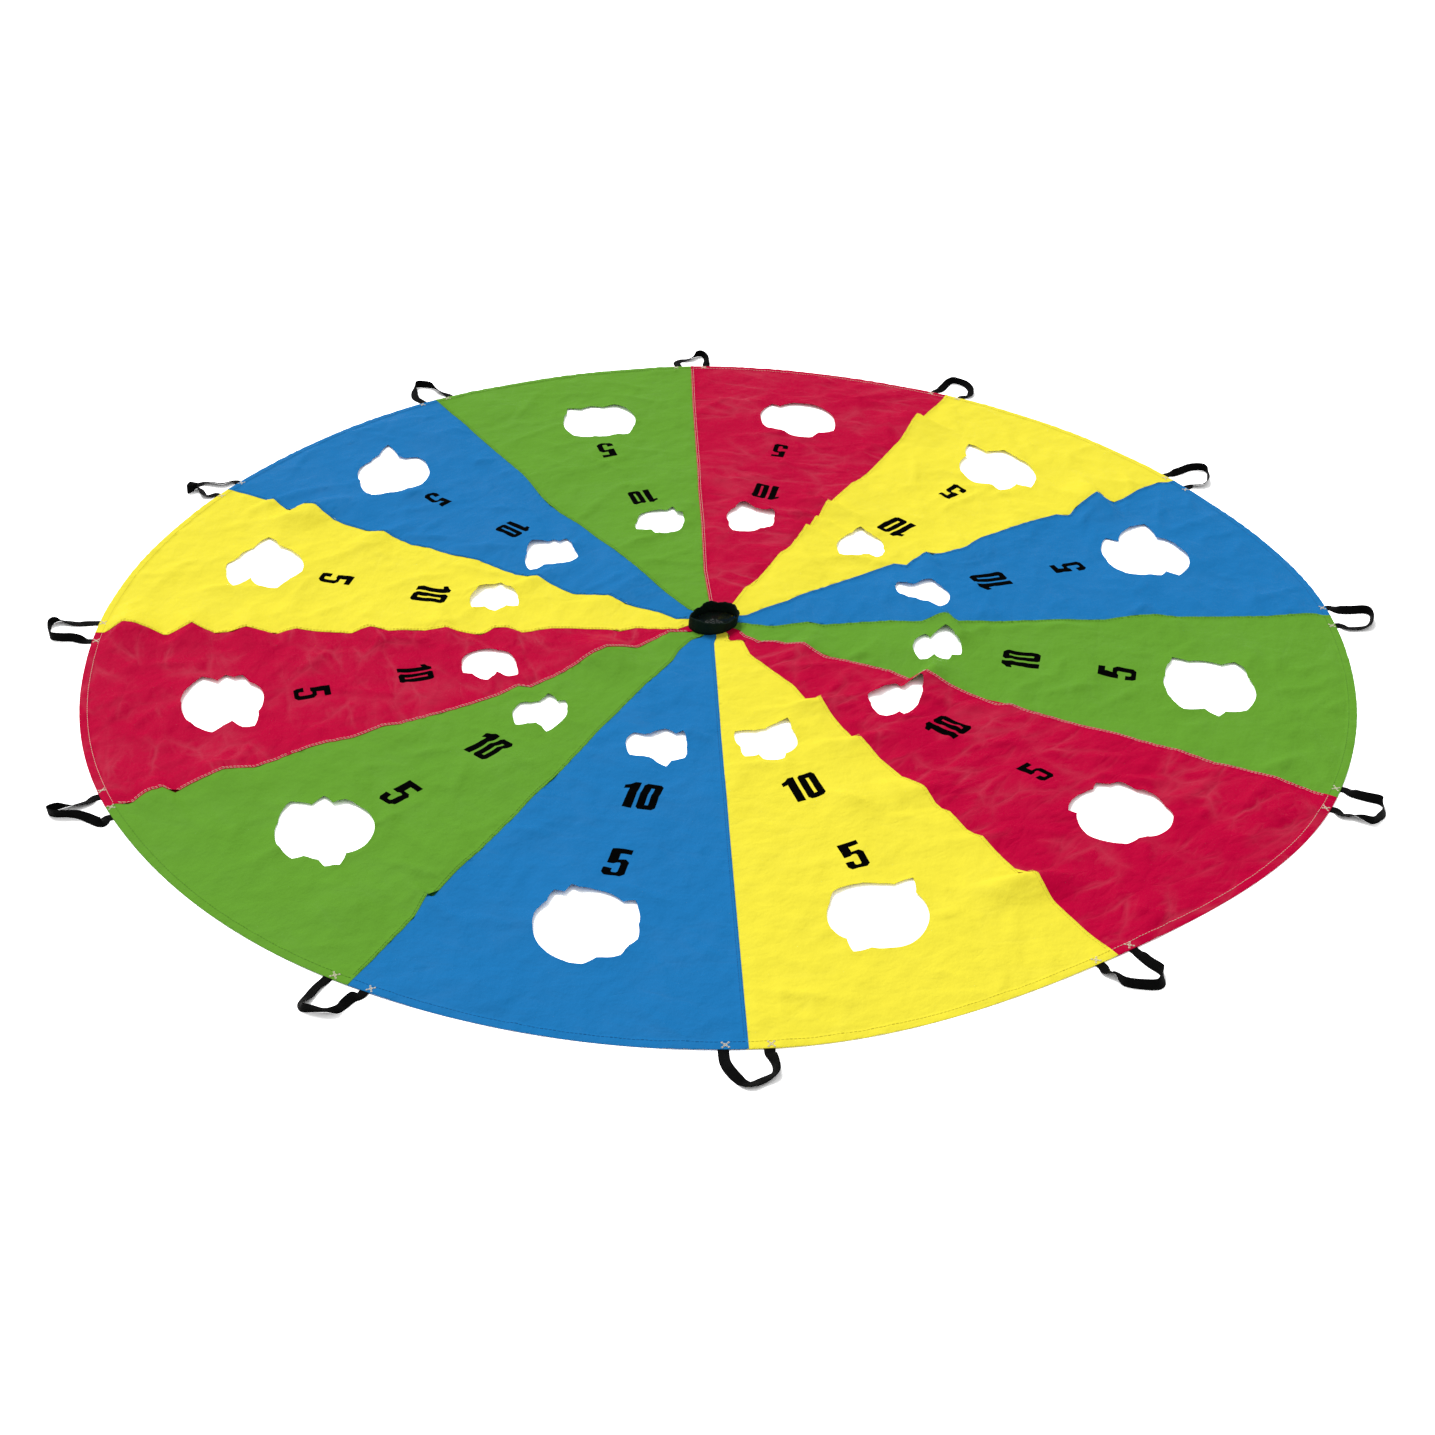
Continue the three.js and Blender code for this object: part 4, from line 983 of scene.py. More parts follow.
def extra_rows(gore):
    """Rows of points that keep the steps of the hem and the seam sharp and the cloth round the holes fine."""
    canopy = sizes("canopy")
    pitch = canopy.mesh_pitch
    hem = canopy.hem_width
    felled = canopy.seam_width - canopy.seam_lap
    rows = []
    for inset in (RIM_STEP_LENGTH, HEM_FACE_INSET, hem - HEM_STEP_LENGTH, hem, hem + HEM_MARGIN):
        rows.append(arc_row(canopy.radius - inset, pitch))
    for inset in (0.0, LAP_STEP_LENGTH, felled - FELLED_STEP_LENGTH, felled):
        rows.append(seam_row(inset, pitch))
    for away in HOLE_RING_DISTANCES:
        rows.append(hole_ring(gore, True, away))
        rows.append(hole_ring(gore, False, away))
    return [point for row in rows for point in row]


def signed_areas(flat, faces):
    """The areas of a flat pattern's triangles, below zero for those that run clockwise."""
    a, b, c = (flat[faces[:, corner]] for corner in range(3))
    return ((b[:, 0] - a[:, 0]) * (c[:, 1] - a[:, 1]) - (b[:, 1] - a[:, 1]) * (c[:, 0] - a[:, 0])) / 2


def gore_pattern(gore):
    """A gore's flat pattern as triangles: points, faces, and which faces are printed."""
    pitch = sizes("canopy").mesh_pitch
    outline = gore_outline(gore)
    holes = [hole_outline(gore, True), hole_outline(gore, False)]
    prints, bare = number_outlines(gore)
    loops = [outline, *holes, *(resample(shape, pitch / 2) for shape in prints + bare)]
    points = [point for loop in loops for point in loop]
    edges = []
    start = 0
    for loop in loops:
        edges += [(start + step, start + (step + 1) % len(loop)) for step in range(len(loop))]
        start += len(loop)
    points += within(apart_from(points, extra_rows(gore), POINT_CLEARANCE), outline)
    points += apart_from(points, within(hex_grid(pitch), outline), pitch * GRID_CLEARANCE_SHARE)
    made = delaunay_2d_cdt([Vector(point) for point in points], edges, [], 0, MERGE_DISTANCE)
    flat = np.array([tuple(point) for point in made[0]])
    faces = np.array([face for face in made[2] if len(face) == 3])
    centres = flat[faces].mean(axis=1)
    keep = inside(centres, outline)
    for hole in holes:
        keep &= ~inside(centres, hole)
    faces = faces[keep]
    centres = centres[keep]
    printed = np.zeros(len(faces), bool)
    for shape in prints:
        printed |= inside(centres, shape)
    for shape in bare:
        printed &= ~inside(centres, shape)
    used, faces = np.unique(faces, return_inverse=True)
    faces = faces.reshape(-1, 3)
    flat = flat[used]
    clockwise = signed_areas(flat, faces) < 0
    faces[clockwise] = faces[clockwise][:, ::-1]
    return flat, faces, printed


def hex_grid(pitch):
    """Points in staggered rows over the whole flat pattern."""
    radius = sizes("canopy").radius
    half_width = radius * math.sin(GORE_TURN / 2) + pitch
    row_pitch = pitch * math.sqrt(3) / 2
    rows = []
    for row in range(math.ceil(radius / row_pitch)):
        across = np.arange(-half_width, half_width, pitch) + (pitch / 2 if row % 2 else 0)
        rows.append(np.stack([np.full_like(across, row * row_pitch), across], axis=-1))
    return np.concatenate(rows)


def sleeve_faces(rings, sides, closed=False):
    """Faces from each ring of points to the next one, and from the last to the first where it is closed."""
    faces = []
    for ring in range(rings if closed else rings - 1):
        here = ring * sides
        there = (ring + 1) % rings * sides
        for side in range(sides):
            after = (side + 1) % sides
            faces.append((here + side, there + side, there + after, here + after))
    return faces


def turned_over(faces):
    """The same faces, looking the other way."""
    return [(face[0], *face[:0:-1]) for face in faces]


def mesh_object(name, vertices, faces, materials):
    """A new object from mesh data, with its materials."""
    mesh = bpy.data.meshes.new(name)
    mesh.from_pydata([tuple(point) for point in vertices], [], [tuple(map(int, face)) for face in faces])
    for material in materials:
        mesh.materials.append(material)
    mesh.update()
    piece = bpy.data.objects.new(name, mesh)
    bpy.context.scene.collection.objects.link(piece)
    return piece


def lay_uv(piece, places):
    """Gives a piece's points their places on the flat cloth or strap, in metres."""
    mesh = piece.data
    layer = mesh.uv_layers.new(name="flat")
    corners = np.zeros(len(mesh.loops), int)
    mesh.loops.foreach_get("vertex_index", corners)
    layer.data.foreach_set("uv", np.asarray(places, float)[corners].astype(np.float32).ravel())


def shade(piece, sharp_edges=()):
    """Shades a piece's faces smooth, with some of its edges sharp."""
    mesh = piece.data
    mesh.polygons.foreach_set("use_smooth", np.full(len(mesh.polygons), True))
    if len(sharp_edges):
        sharp = {tuple(sorted(edge)) for edge in sharp_edges}
        for edge in mesh.edges:
            edge.use_edge_sharp = tuple(sorted(edge.vertices)) in sharp
    mesh.update()


def border_edges(faces):
    """The directed edges that only one face has."""
    edges = np.concatenate([faces[:, [0, 1]], faces[:, [1, 2]], faces[:, [2, 0]]])
    ordered = np.sort(edges, axis=1)
    _, first, count = np.unique(ordered, axis=0, return_index=True, return_counts=True)
    return edges[first[count == 1]]


def make_gore(gore):
    """One gore: closed cloth from the vent to the turned hem, with two target holes and its numbers."""
    canopy = sizes("canopy")
    name = gore_colour(gore)
    node = f"gore_{gore:02d}_{name}"
    flat, faces, printed = gore_pattern(gore)
    top = cloth_top(gore, flat[:, 0], flat[:, 1])
    bottom = cloth_bottom(gore, flat[:, 0], flat[:, 1])
    count = len(flat)
    border = border_edges(faces)
    walls = np.stack([border[:, 1], border[:, 0], border[:, 0] + count, border[:, 1] + count], axis=-1)
    all_faces = [*faces, *(faces[:, ::-1] + count), *walls]
    materials = [cloth_material(name), ink_material()]
    piece = mesh_object(node + "_cloth", np.concatenate([top, bottom]), all_faces, materials)
    kinds = np.zeros(len(all_faces), np.int32)
    kinds[:len(faces)] = printed
    piece.data.polygons.foreach_set("material_index", kinds)
    lay_uv(piece, np.concatenate([flat, flat]))
    shade(piece, [*map(tuple, border), *map(tuple, border + count)])
    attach(piece, "canopy")
    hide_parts(node)


def add_node(tree, kind, inputs=None, **settings):
    """Adds a shader node with its settings; an input is a value or the output that it is linked to."""
    node = tree.nodes.new(kind)
    for name, value in settings.items():
        setattr(node, name, value)
    for name, value in (inputs or {}).items():
        if isinstance(value, bpy.types.NodeSocket):
            tree.links.new(value, node.inputs[name])
        else:
            node.inputs[name].default_value = value
    return node


def new_material(name):
    """A new material without nodes, and its node tree."""
    material = bpy.data.materials.new(name)
    material.use_nodes = True
    material.node_tree.nodes.clear()
    return material, material.node_tree


def per(millimetres):
    """The scale of a pattern that repeats once in a length in millimetres."""
    return 1000 / millimetres


def ridges(millimetres):
    """The scale of a wave pattern whose ridges are a length in millimetres apart."""
    return per(millimetres) * math.tau / 20


def toned(colour, times, plus=0.0):
    """A colour with each of its channels multiplied and raised."""
    return [channel * times + plus for channel in colour[:3]] + [1.0]


def woven(tree, place, warp, weft):
    """The height of a plain weave, from its threads' distances along x and y in millimetres."""
    threads = [
        add_node(
            tree, "ShaderNodeTexWave", {"Vector": place, "Scale": ridges(spacing)},
            wave_type="BANDS", bands_direction=direction, wave_profile="SIN",
        ).outputs["Fac"]
        for direction, spacing in (("X", warp), ("Y", weft))
    ]
    return add_node(tree, "ShaderNodeMath", {0: threads[0], 1: threads[1]}, operation="MULTIPLY").outputs[0]


def sheen_edges(tree, place, patch, most):
    """Painted sheen along the cloth's creases, up to a share, and how far each place is from a crease."""
    wander = add_node(
        tree, "ShaderNodeTexNoise", {"Vector": place, "Scale": per(TAFFETA_WANDER), "Detail": 2.0}
    ).outputs["Color"]
    bent = add_node(
        tree, "ShaderNodeMix", {"Factor": 0.06, 4: place, 5: wander}, data_type="VECTOR"
    ).outputs[1]
    long, short = TAFFETA_FACETS
    stretch = add_node(tree, "ShaderNodeMapping", {
        "Vector": bent, "Rotation": (0, 0, math.radians(24)), "Scale": (per(long), per(short), 1.0),
    }).outputs[0]
    facet = add_node(
        tree, "ShaderNodeTexVoronoi", {"Vector": stretch, "Scale": 1.0, "Detail": 2.0, "Roughness": 0.6},
        feature="DISTANCE_TO_EDGE",
    ).outputs["Distance"]
    edge = add_node(tree, "ShaderNodeMapRange", {
        "Value": facet, "From Min": 0.0, "From Max": 0.07, "To Min": most, "To Max": 0.0,
    }).outputs[0]
    where = add_node(tree, "ShaderNodeMapRange", {
        "Value": patch, "From Min": 0.4, "From Max": 0.65, "To Min": 0.0, "To Max": 1.0,
    }).outputs[0]
    return add_node(tree, "ShaderNodeMath", {0: edge, 1: where}, operation="MULTIPLY").outputs[0], facet


def cloth_material(name):
    """Coated polyester taffeta, woven from fine bright threads and coated on its back: an even strong colour
    with a slight shine, a faint weave, painted shade in the hollows of its wrinkles, and a painted sheen
    as paler lines along its creases."""
    found = bpy.data.materials.get("polyester_taffeta_" + name)
    if found:
        return found
    material, tree = new_material("polyester_taffeta_" + name)
    red = name == "red"
    base = list(getattr(sizes("colours"), name))
    place = add_node(tree, "ShaderNodeTexCoord").outputs["UV"]
    weave = woven(tree, place, TAFFETA_THREAD, TAFFETA_THREAD)
    wrinkle = add_node(tree, "ShaderNodeTexNoise", {
        "Vector": place, "Scale": per(TAFFETA_WRINKLE), "Detail": 6.0, "Roughness": 0.62,
    }).outputs["Fac"]
    patch = add_node(
        tree, "ShaderNodeTexNoise", {"Vector": place, "Scale": per(TAFFETA_PATCH), "Detail": 3.0}
    ).outputs["Fac"]
    # Painted sheen: paler lines along the creases, strongest in the red.
    painted_sheen, facet = sheen_edges(tree, place, patch, RED_SHEEN_SHARE if red else SHEEN_SHARE)
    # Painted shade: the cloth is drawn up to 7 % darker where the wrinkles' bump is low, in their hollows.
    tone = add_node(
        tree, "ShaderNodeMix", {"Factor": wrinkle, 6: toned(base, 0.93), 7: base}, data_type="RGBA"
    ).outputs[2]
    # Mixes in the painted sheen, paler towards white along the creases.
    sheened_tone = add_node(
        tree, "ShaderNodeMix", {"Factor": painted_sheen, 6: tone, 7: toned(base, 0.9, 0.1)}, data_type="RGBA"
    ).outputs[2]
    gloss = add_node(tree, "ShaderNodeMapRange", {
        "Value": patch, "From Min": 0.3, "From Max": 0.8, "To Min": 0.62, "To Max": 0.44,
    }).outputs[0]
    coarse = add_node(
        tree, "ShaderNodeBump", {"Strength": 1.0, "Distance": WRINKLE_DEPTH, "Height": wrinkle}
    ).outputs[0]
    depth = RED_FACET_DEPTH if red else FACET_DEPTH
    soft = add_node(
        tree, "ShaderNodeBump", {"Strength": 1.0, "Distance": depth, "Height": facet, "Normal": coarse}
    ).outputs[0]
    relief = add_node(
        tree, "ShaderNodeBump", {"Strength": 0.5, "Distance": TAFFETA_DEPTH, "Height": weave, "Normal": soft}
    ).outputs[0]
    surface = add_node(tree, "ShaderNodeBsdfPrincipled", {
        "Base Color": sheened_tone, "Roughness": gloss, "IOR": 1.5, "Specular IOR Level": 0.02, "Normal": relief,
    }).outputs[0]
    add_node(tree, "ShaderNodeOutputMaterial", {"Surface": surface})
    return material


def ink_material():
    """Screen-printed ink, a thin matt film that fills the weave and hides the dye under it."""
    found = bpy.data.materials.get("screen_ink")
    if found:
        return found
    material, tree = new_material("screen_ink")
    base = list(sizes("colours").ink)
    place = add_node(tree, "ShaderNodeTexCoord").outputs["UV"]
    patch = add_node(
        tree, "ShaderNodeTexNoise", {"Vector": place, "Scale": per(INK_GRAIN), "Detail": 4.0}
    ).outputs["Fac"]
    tone = add_node(
        tree, "ShaderNodeMix", {"Factor": patch, 6: base, 7: toned(base, 1, 0.001)}, data_type="RGBA"
    ).outputs[2]
    relief = add_node(
        tree, "ShaderNodeBump", {"Strength": 0.6, "Distance": INK_DEPTH, "Height": patch}
    ).outputs[0]
    surface = add_node(tree, "ShaderNodeBsdfPrincipled", {
        "Base Color": tone, "Roughness": 0.8, "IOR": 1.5, "Specular IOR Level": 0.005, "Normal": relief,
    }).outputs[0]
    add_node(tree, "ShaderNodeOutputMaterial", {"Surface": surface})
    return material


def thread_material(name):
    """Spun polyester sewing thread, two plies twisted together: matt and slightly uneven. The red gores and
    the tacks are sewn with an undyed pale thread, the other gores with thread dyed like their cloth."""
    found = bpy.data.materials.get("spun_polyester_thread_" + name)
    if found:
        return found
    material, tree = new_material("spun_polyester_thread_" + name)
    colours = sizes("colours")
    base = list(colours.thread) if name == "undyed" else toned(getattr(colours, name), 0.8)
    place = add_node(tree, "ShaderNodeTexCoord").outputs["Object"]
    patch = add_node(
        tree, "ShaderNodeTexNoise", {"Vector": place, "Scale": per(THREAD_GRAIN), "Detail": 2.0}
    ).outputs["Fac"]
    tone = add_node(
        tree, "ShaderNodeMix", {"Factor": patch, 6: toned(base, 0.82), 7: base}, data_type="RGBA"
    ).outputs[2]
    surface = add_node(tree, "ShaderNodeBsdfPrincipled", {
        "Base Color": tone, "Roughness": 0.75, "IOR": 1.5, "Specular IOR Level": 0.2,
    }).outputs[0]
    add_node(tree, "ShaderNodeOutputMaterial", {"Surface": surface})
    return material


def webbing_material():
    """Flat woven polypropylene webbing: ribs along its length crossed by the picks of the weft, near black,
    with a dull shine on the crowns of the ribs."""
    found = bpy.data.materials.get("polypropylene_webbing")
    if found:
        return found
    material, tree = new_material("polypropylene_webbing")
    base = list(sizes("colours").webbing)
    place = add_node(tree, "ShaderNodeTexCoord").outputs["UV"]
    weave = woven(tree, place, WEBBING_PICK, WEBBING_RIB)
    patch = add_node(
        tree, "ShaderNodeTexNoise", {"Vector": place, "Scale": per(WEBBING_WEAR), "Detail": 3.0}
    ).outputs["Fac"]
    # Painted sheen: the crowns of the ribs are drawn lighter.
    tone = add_node(
        tree, "ShaderNodeMix", {"Factor": weave, 6: base, 7: toned(base, 1.4, 0.001)}, data_type="RGBA"
    ).outputs[2]
    gloss = add_node(tree, "ShaderNodeMapRange", {
        "Value": patch, "From Min": 0.3, "From Max": 0.7, "To Min": 0.55, "To Max": 0.72,
    }).outputs[0]
    relief = add_node(
        tree, "ShaderNodeBump", {"Strength": 0.9, "Distance": WEBBING_DEPTH, "Height": weave}
    ).outputs[0]
    surface = add_node(tree, "ShaderNodeBsdfPrincipled", {
        "Base Color": tone, "Roughness": gloss, "IOR": 1.49, "Specular IOR Level": 0.03, "Normal": relief,
    }).outputs[0]
    add_node(tree, "ShaderNodeOutputMaterial", {"Surface": surface})
    return material


def collar_material():
    """Doubled twill tape: soft, dark green going to black, with a faint diagonal rib."""
    found = bpy.data.materials.get("twill_tape")
    if found:
        return found
    material, tree = new_material("twill_tape")
    base = list(sizes("colours").collar)
    place = add_node(tree, "ShaderNodeTexCoord").outputs["UV"]
    turned = add_node(
        tree, "ShaderNodeMapping", {"Vector": place, "Rotation": (0, 0, math.radians(60))}
    ).outputs[0]
    ribs = add_node(
        tree, "ShaderNodeTexWave", {"Vector": turned, "Scale": ridges(TWILL_RIB)},
        wave_type="BANDS", bands_direction="X", wave_profile="SIN",
    ).outputs["Fac"]
    patch = add_node(
        tree, "ShaderNodeTexNoise", {"Vector": place, "Scale": per(TWILL_WEAR), "Detail": 4.0}
    ).outputs["Fac"]
    greener = [base[0] * 1.4 + 0.002, base[1] * 1.9 + 0.004, base[2] * 1.6 + 0.003, 1.0]
    tone = add_node(
        tree, "ShaderNodeMix", {"Factor": patch, 6: base, 7: greener}, data_type="RGBA"
    ).outputs[2]
    relief = add_node(
        tree, "ShaderNodeBump", {"Strength": 0.8, "Distance": TWILL_DEPTH, "Height": ribs}
    ).outputs[0]
    surface = add_node(tree, "ShaderNodeBsdfPrincipled", {
        "Base Color": tone, "Roughness": 0.72, "IOR": 1.5, "Specular IOR Level": 0.08, "Normal": relief,
    }).outputs[0]
    add_node(tree, "ShaderNodeOutputMaterial", {"Surface": surface})
    return material


def net_material():
    """Knitted polyester net, of a dull thread of many fibres, drawn near black as painted shade inside the
    collar.
    """
    found = bpy.data.materials.get("polyester_net")
    if found:
        return found
    material, tree = new_material("polyester_net")
    base = list(sizes("colours").net)
    place = add_node(tree, "ShaderNodeTexCoord").outputs["Object"]
    patch = add_node(
        tree, "ShaderNodeTexNoise", {"Vector": place, "Scale": per(NET_FIBRE), "Detail": 3.0}
    ).outputs["Fac"]
    tone = add_node(
        tree, "ShaderNodeMix", {"Factor": patch, 6: base, 7: toned(base, 1.8, 0.004)}, data_type="RGBA"
    ).outputs[2]
    relief = add_node(
        tree, "ShaderNodeBump", {"Strength": 0.7, "Distance": NET_DEPTH, "Height": patch}
    ).outputs[0]
    surface = add_node(tree, "ShaderNodeBsdfPrincipled", {
        "Base Color": tone, "Roughness": 0.7, "IOR": 1.5, "Specular IOR Level": 0.08, "Normal": relief,
    }).outputs[0]
    add_node(tree, "ShaderNodeOutputMaterial", {"Surface": surface})
    return material


def stitches(name, starts, ends, diameter, material):
    """A piece of many short rounded stitches, each from its start to its end on the cloth."""
    along = ends - starts
    spans = np.linalg.norm(along, axis=1, keepdims=True)
    along = along / spans
    aside = np.cross(np.tile([0.0, 0.0, 1.0], (len(starts), 1)), along)
    aside = aside / np.linalg.norm(aside, axis=1, keepdims=True)
    upward = np.cross(along, aside)
    rings = []
    for place, share in STITCH_RING_SHARES:
        radius = diameter / 2 * share
        for side in range(STITCH_SIDES):
            turn = math.tau * side / STITCH_SIDES
            offset = aside * math.cos(turn) * radius + upward * math.sin(turn) * radius
            rings.append(starts + along * spans * place + offset)
    vertices = np.stack(rings, axis=1).reshape(-1, 3)
    per_stitch = len(rings)
    first_points = per_stitch * np.arange(len(starts))[:, None, None]
    pattern = turned_over(sleeve_faces(len(STITCH_RING_SHARES), STITCH_SIDES))
    quads = (np.array(pattern)[None] + first_points).reshape(-1, 4)
    front = list(range(STITCH_SIDES))[::-1]
    back = list(range(per_stitch - STITCH_SIDES, per_stitch))
    caps = (np.array([front, back])[None] + first_points).reshape(-1, STITCH_SIDES)
    piece = mesh_object(name, vertices, [*quads, *caps], [material])
    shade(piece)
    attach(piece, "canopy")


def row_ends(gore, x, y):
    """Starts and ends of stitches along a line on a gore's upper side."""
    thread = sizes("thread")
    points = cloth_top(gore, x, y)
    reach = np.gradient(points, axis=0) * thread.stitch / thread.pitch / 2
    lift = np.array([0, 0, thread.diameter * STITCH_LIFT_SHARE])
    return points - reach + lift, points + reach + lift


def hem_row(gore):
    """Starts and ends of the stitches that hold a gore's hem."""
    canopy = sizes("canopy")
    thread = sizes("thread")
    radius = canopy.radius - canopy.hem_width + thread.hem_inset
    count = int(radius * GORE_TURN / thread.pitch)
    turns = ((np.arange(count) + 0.5) / count - 0.5) * GORE_TURN
    return row_ends(gore, radius * np.cos(turns), radius * np.sin(turns))


def seam_stitch_row(gore, inset):
    """Starts and ends of a row of stitches along a gore's felled seam."""
    canopy = sizes("canopy")
    thread = sizes("thread")
    start = collar_seat() + thread.row_start
    count = int((canopy.radius - canopy.hem_width - start) / thread.pitch)
    radii = start + thread.pitch * (np.arange(count) + 0.5)
    turns = GORE_TURN / 2 - np.arcsin(inset / radii)
    return row_ends(gore, radii * np.cos(turns), radii * np.sin(turns))


class PARACHUTE_OT_gores(bpy.types.Operator):
    """Makes the twelve gores of the canopy"""

    bl_idname = "parachute.gores"
    bl_label = "Gores"

    def execute(self, context):
        for gore in range(1, GORE_COUNT + 1):
            make_gore(gore)
        return {"FINISHED"}


class PARACHUTE_OT_stitching(bpy.types.Operator):
    """Sews the hem and the felled seams"""

    bl_idname = "parachute.stitching"
    bl_label = "Stitching"

    def execute(self, context):
        canopy = sizes("canopy")
        thread = sizes("thread")
        inner_edge = canopy.seam_width - canopy.seam_lap
        insets = (thread.outer_inset - canopy.seam_lap, inner_edge - thread.inner_inset)
        for first, name in enumerate(COLOUR_NAMES, 1):
            material = thread_material("undyed" if name == "red" else name)
            gores = range(first, GORE_COUNT + 1, len(COLOUR_NAMES))
            starts, ends = map(np.concatenate, zip(*(hem_row(gore) for gore in gores)))
            stitches(f"hem_stitches_{name}", starts, ends, thread.diameter, material)
            for number, inset in enumerate(insets, 1):
                starts, ends = map(np.concatenate, zip(*(seam_stitch_row(gore, inset) for gore in gores)))
                stitches(f"seam_stitches_{name}_{number}", starts, ends, thread.diameter, material)
        return {"FINISHED"}


def handle_seat(seam):
    """The frame of a handle on the floor at the rim end of a seam, with x outwards and y along the rim."""
    canopy = sizes("canopy")
    handle = sizes("handle")
    angle = seam_angle(seam)
    sliver = (handle.opening_half + handle.width) / canopy.radius
    ends = lay_cloth(np.full(3, canopy.radius), np.array([angle, angle + sliver, angle - sliver]))
    rim = ends[1] - ends[2]
    turn = math.atan2(-rim[0], rim[1])
    return Matrix.Translation((ends[0][0], ends[0][1], 0)) @ Matrix.Rotation(turn, 4, "Z")


def through(corners, steps):
    """A smooth path through corners, with a number of steps from each corner to the next."""
    corners = np.array(corners, float)
    spans = np.sqrt(np.linalg.norm(np.diff(corners[:, :2], axis=0), axis=1))
    places = np.concatenate([[0], np.cumsum(spans)])
    last = len(corners) - 1
    path = []
    for number in range(last):
        here = corners[number]
        there = corners[number + 1]
        before = max(number - 1, 0)
        after = min(number + 2, last)
        span = places[number + 1] - places[number]
        start = (there - corners[before]) / (places[number + 1] - places[before]) * span
        end = (corners[after] - here) / (places[after] - places[number]) * span
        for step in range(steps):
            t = step / steps
            leaving = (2 * t ** 3 - 3 * t ** 2 + 1) * here + (t ** 3 - 2 * t ** 2 + t) * start
            path.append(leaving + (3 * t ** 2 - 2 * t ** 3) * there + (t ** 3 - t ** 2) * end)
    return np.array([*path, corners[last]])


def strap_stations(seam):
    """Stations along a handle's strap, each its inner lower edge, its width and its thickness direction."""
    canopy = sizes("canopy")
    handle = sizes("handle")
    unit = handle.strap_unit
    root = handle.tab + handle.hinge_gap
    back = handle.inset - canopy.hem_width
    middle = handle.opening_half + handle.width / 2
    corners = [(aside * unit, out * unit, tilt) for aside, out, tilt in STRAP_PATH_SHARES[seam - 1]]
    last_tilt = 180 * round(corners[-1][2] / 180)
    legs = [(-middle, back, 0), (-middle, 0, 0), (-middle, root, 0)]
    ends = [(middle, root, last_tilt), (middle, 0, last_tilt), (middle, back, last_tilt)]
    path = through([*legs, *corners, *ends], STRAP_STEPS)
    ahead = np.gradient(path[:, :2], axis=0)
    ahead = ahead / np.linalg.norm(ahead, axis=1, keepdims=True)
    stations = []
    for (aside, out, tilt), (along_aside, along_out) in zip(path, ahead):
        tilt = math.radians(tilt)
        outer = Vector((along_aside, -along_out, 0))
        across = outer * math.cos(tilt) + Vector((0, 0, math.sin(tilt)))
        upward = outer * -math.sin(tilt) + Vector((0, 0, math.cos(tilt)))
        height = handle.width / 2 * abs(math.sin(tilt)) + handle.thickness / 2 * abs(math.cos(tilt))
        edge = Vector((out, aside, height)) - across * handle.width / 2 - upward * handle.thickness / 2
        stations.append((edge, across, upward))
    return stations


def webbing_outline(width, thickness):
    """A strap's cross section with rounded edges."""
    edge = thickness * WEBBING_EDGE_SHARE
    bevel = edge * WEBBING_BEVEL_SHARE
    low = thickness * WEBBING_LOW_SHARE
    near, far = (width * share for share in WEBBING_THIRD_SHARES)
    lower = [(bevel, low), (edge, 0), (near, 0), (far, 0), (width - edge, 0), (width - bevel, low)]
    middle = [(width, thickness / 2), (width - bevel, thickness - low), (width - edge, thickness)]
    upper = [(far, thickness), (near, thickness), (edge, thickness), (bevel, thickness - low)]
    return lower + middle + upper + [(0, thickness / 2)]


def make_band(name, seat, stations, width):
    """A strap of webbing swept along stations, in a handle's frame."""
    handle = sizes("handle")
    outline = webbing_outline(width, handle.thickness)
    vertices = []
    places = []
    travel = 0.0
    last = stations[0][0] + stations[0][1] * handle.width / 2
    for edge, across, upward in stations:
        middle = edge + across * handle.width / 2
        travel += (middle - last).length
        last = middle
        for wide, high in outline:
            vertices.append(seat @ (edge + across * wide + upward * high))
            places.append((travel, wide))
    faces = sleeve_faces(len(stations), len(outline))
    faces.append(tuple(range(len(outline))))
    faces.append(tuple(reversed(range(len(vertices) - len(outline), len(vertices)))))
    piece = mesh_object(name, vertices, faces, [webbing_material()])
    lay_uv(piece, places)
    shade(piece)
    return piece


class PARACHUTE_OT_handles(bpy.types.Operator):
    """Makes the twelve webbing handles"""

    bl_idname = "parachute.handles"
    bl_label = "Handles"

    def execute(self, context):
        for seam in range(1, GORE_COUNT + 1):
            make_handle(seam)
        return {"FINISHED"}


def make_handle(seam):
    """One handle: a strap whose legs are sewn under the hem, and the strip between its legs."""
    canopy = sizes("canopy")
    handle = sizes("handle")
    seat = handle_seat(seam)
    strap = make_band(f"handle_{seam:02d}_strap", seat, strap_stations(seam), handle.width)
    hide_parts(f"handle_loop_{seam:02d}")
    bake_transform(strap)
    back = handle.inset - canopy.hem_width
    half = handle.opening_half - handle.clearance
    outwards = Vector((1, 0, 0))
    upward = Vector((0, 0, 1))
    asides = [-half + 2 * half * step / STRIP_STEPS for step in range(STRIP_STEPS + 1)]
    stations = [(Vector((back, aside, 0)), outwards, upward) for aside in asides]
    width = canopy.hem_width - 2 * handle.inset
    strip = make_band(f"handle_{seam:02d}_strip", seat, stations, width)
    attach(strip, "canopy")
    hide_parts(f"handle_base_{seam:02d}")


def cloth_at(point):
    """The upper side of the cloth at a point of the floor plan near the rim, found on the flat pattern."""
    angle = math.atan2(point[1], point[0])
    radius = math.hypot(point[0], point[1]) / float(rim_reach(np.array([angle]))[0])
    gore = int((angle - FIRST_SEAM_ANGLE) % math.tau / GORE_TURN) + 1
    local = float(turn_from(angle, seam_angle(gore) + GORE_TURN / 2))
    return cloth_top(gore, np.array([radius * math.cos(local)]), np.array([radius * math.sin(local)]))[0]


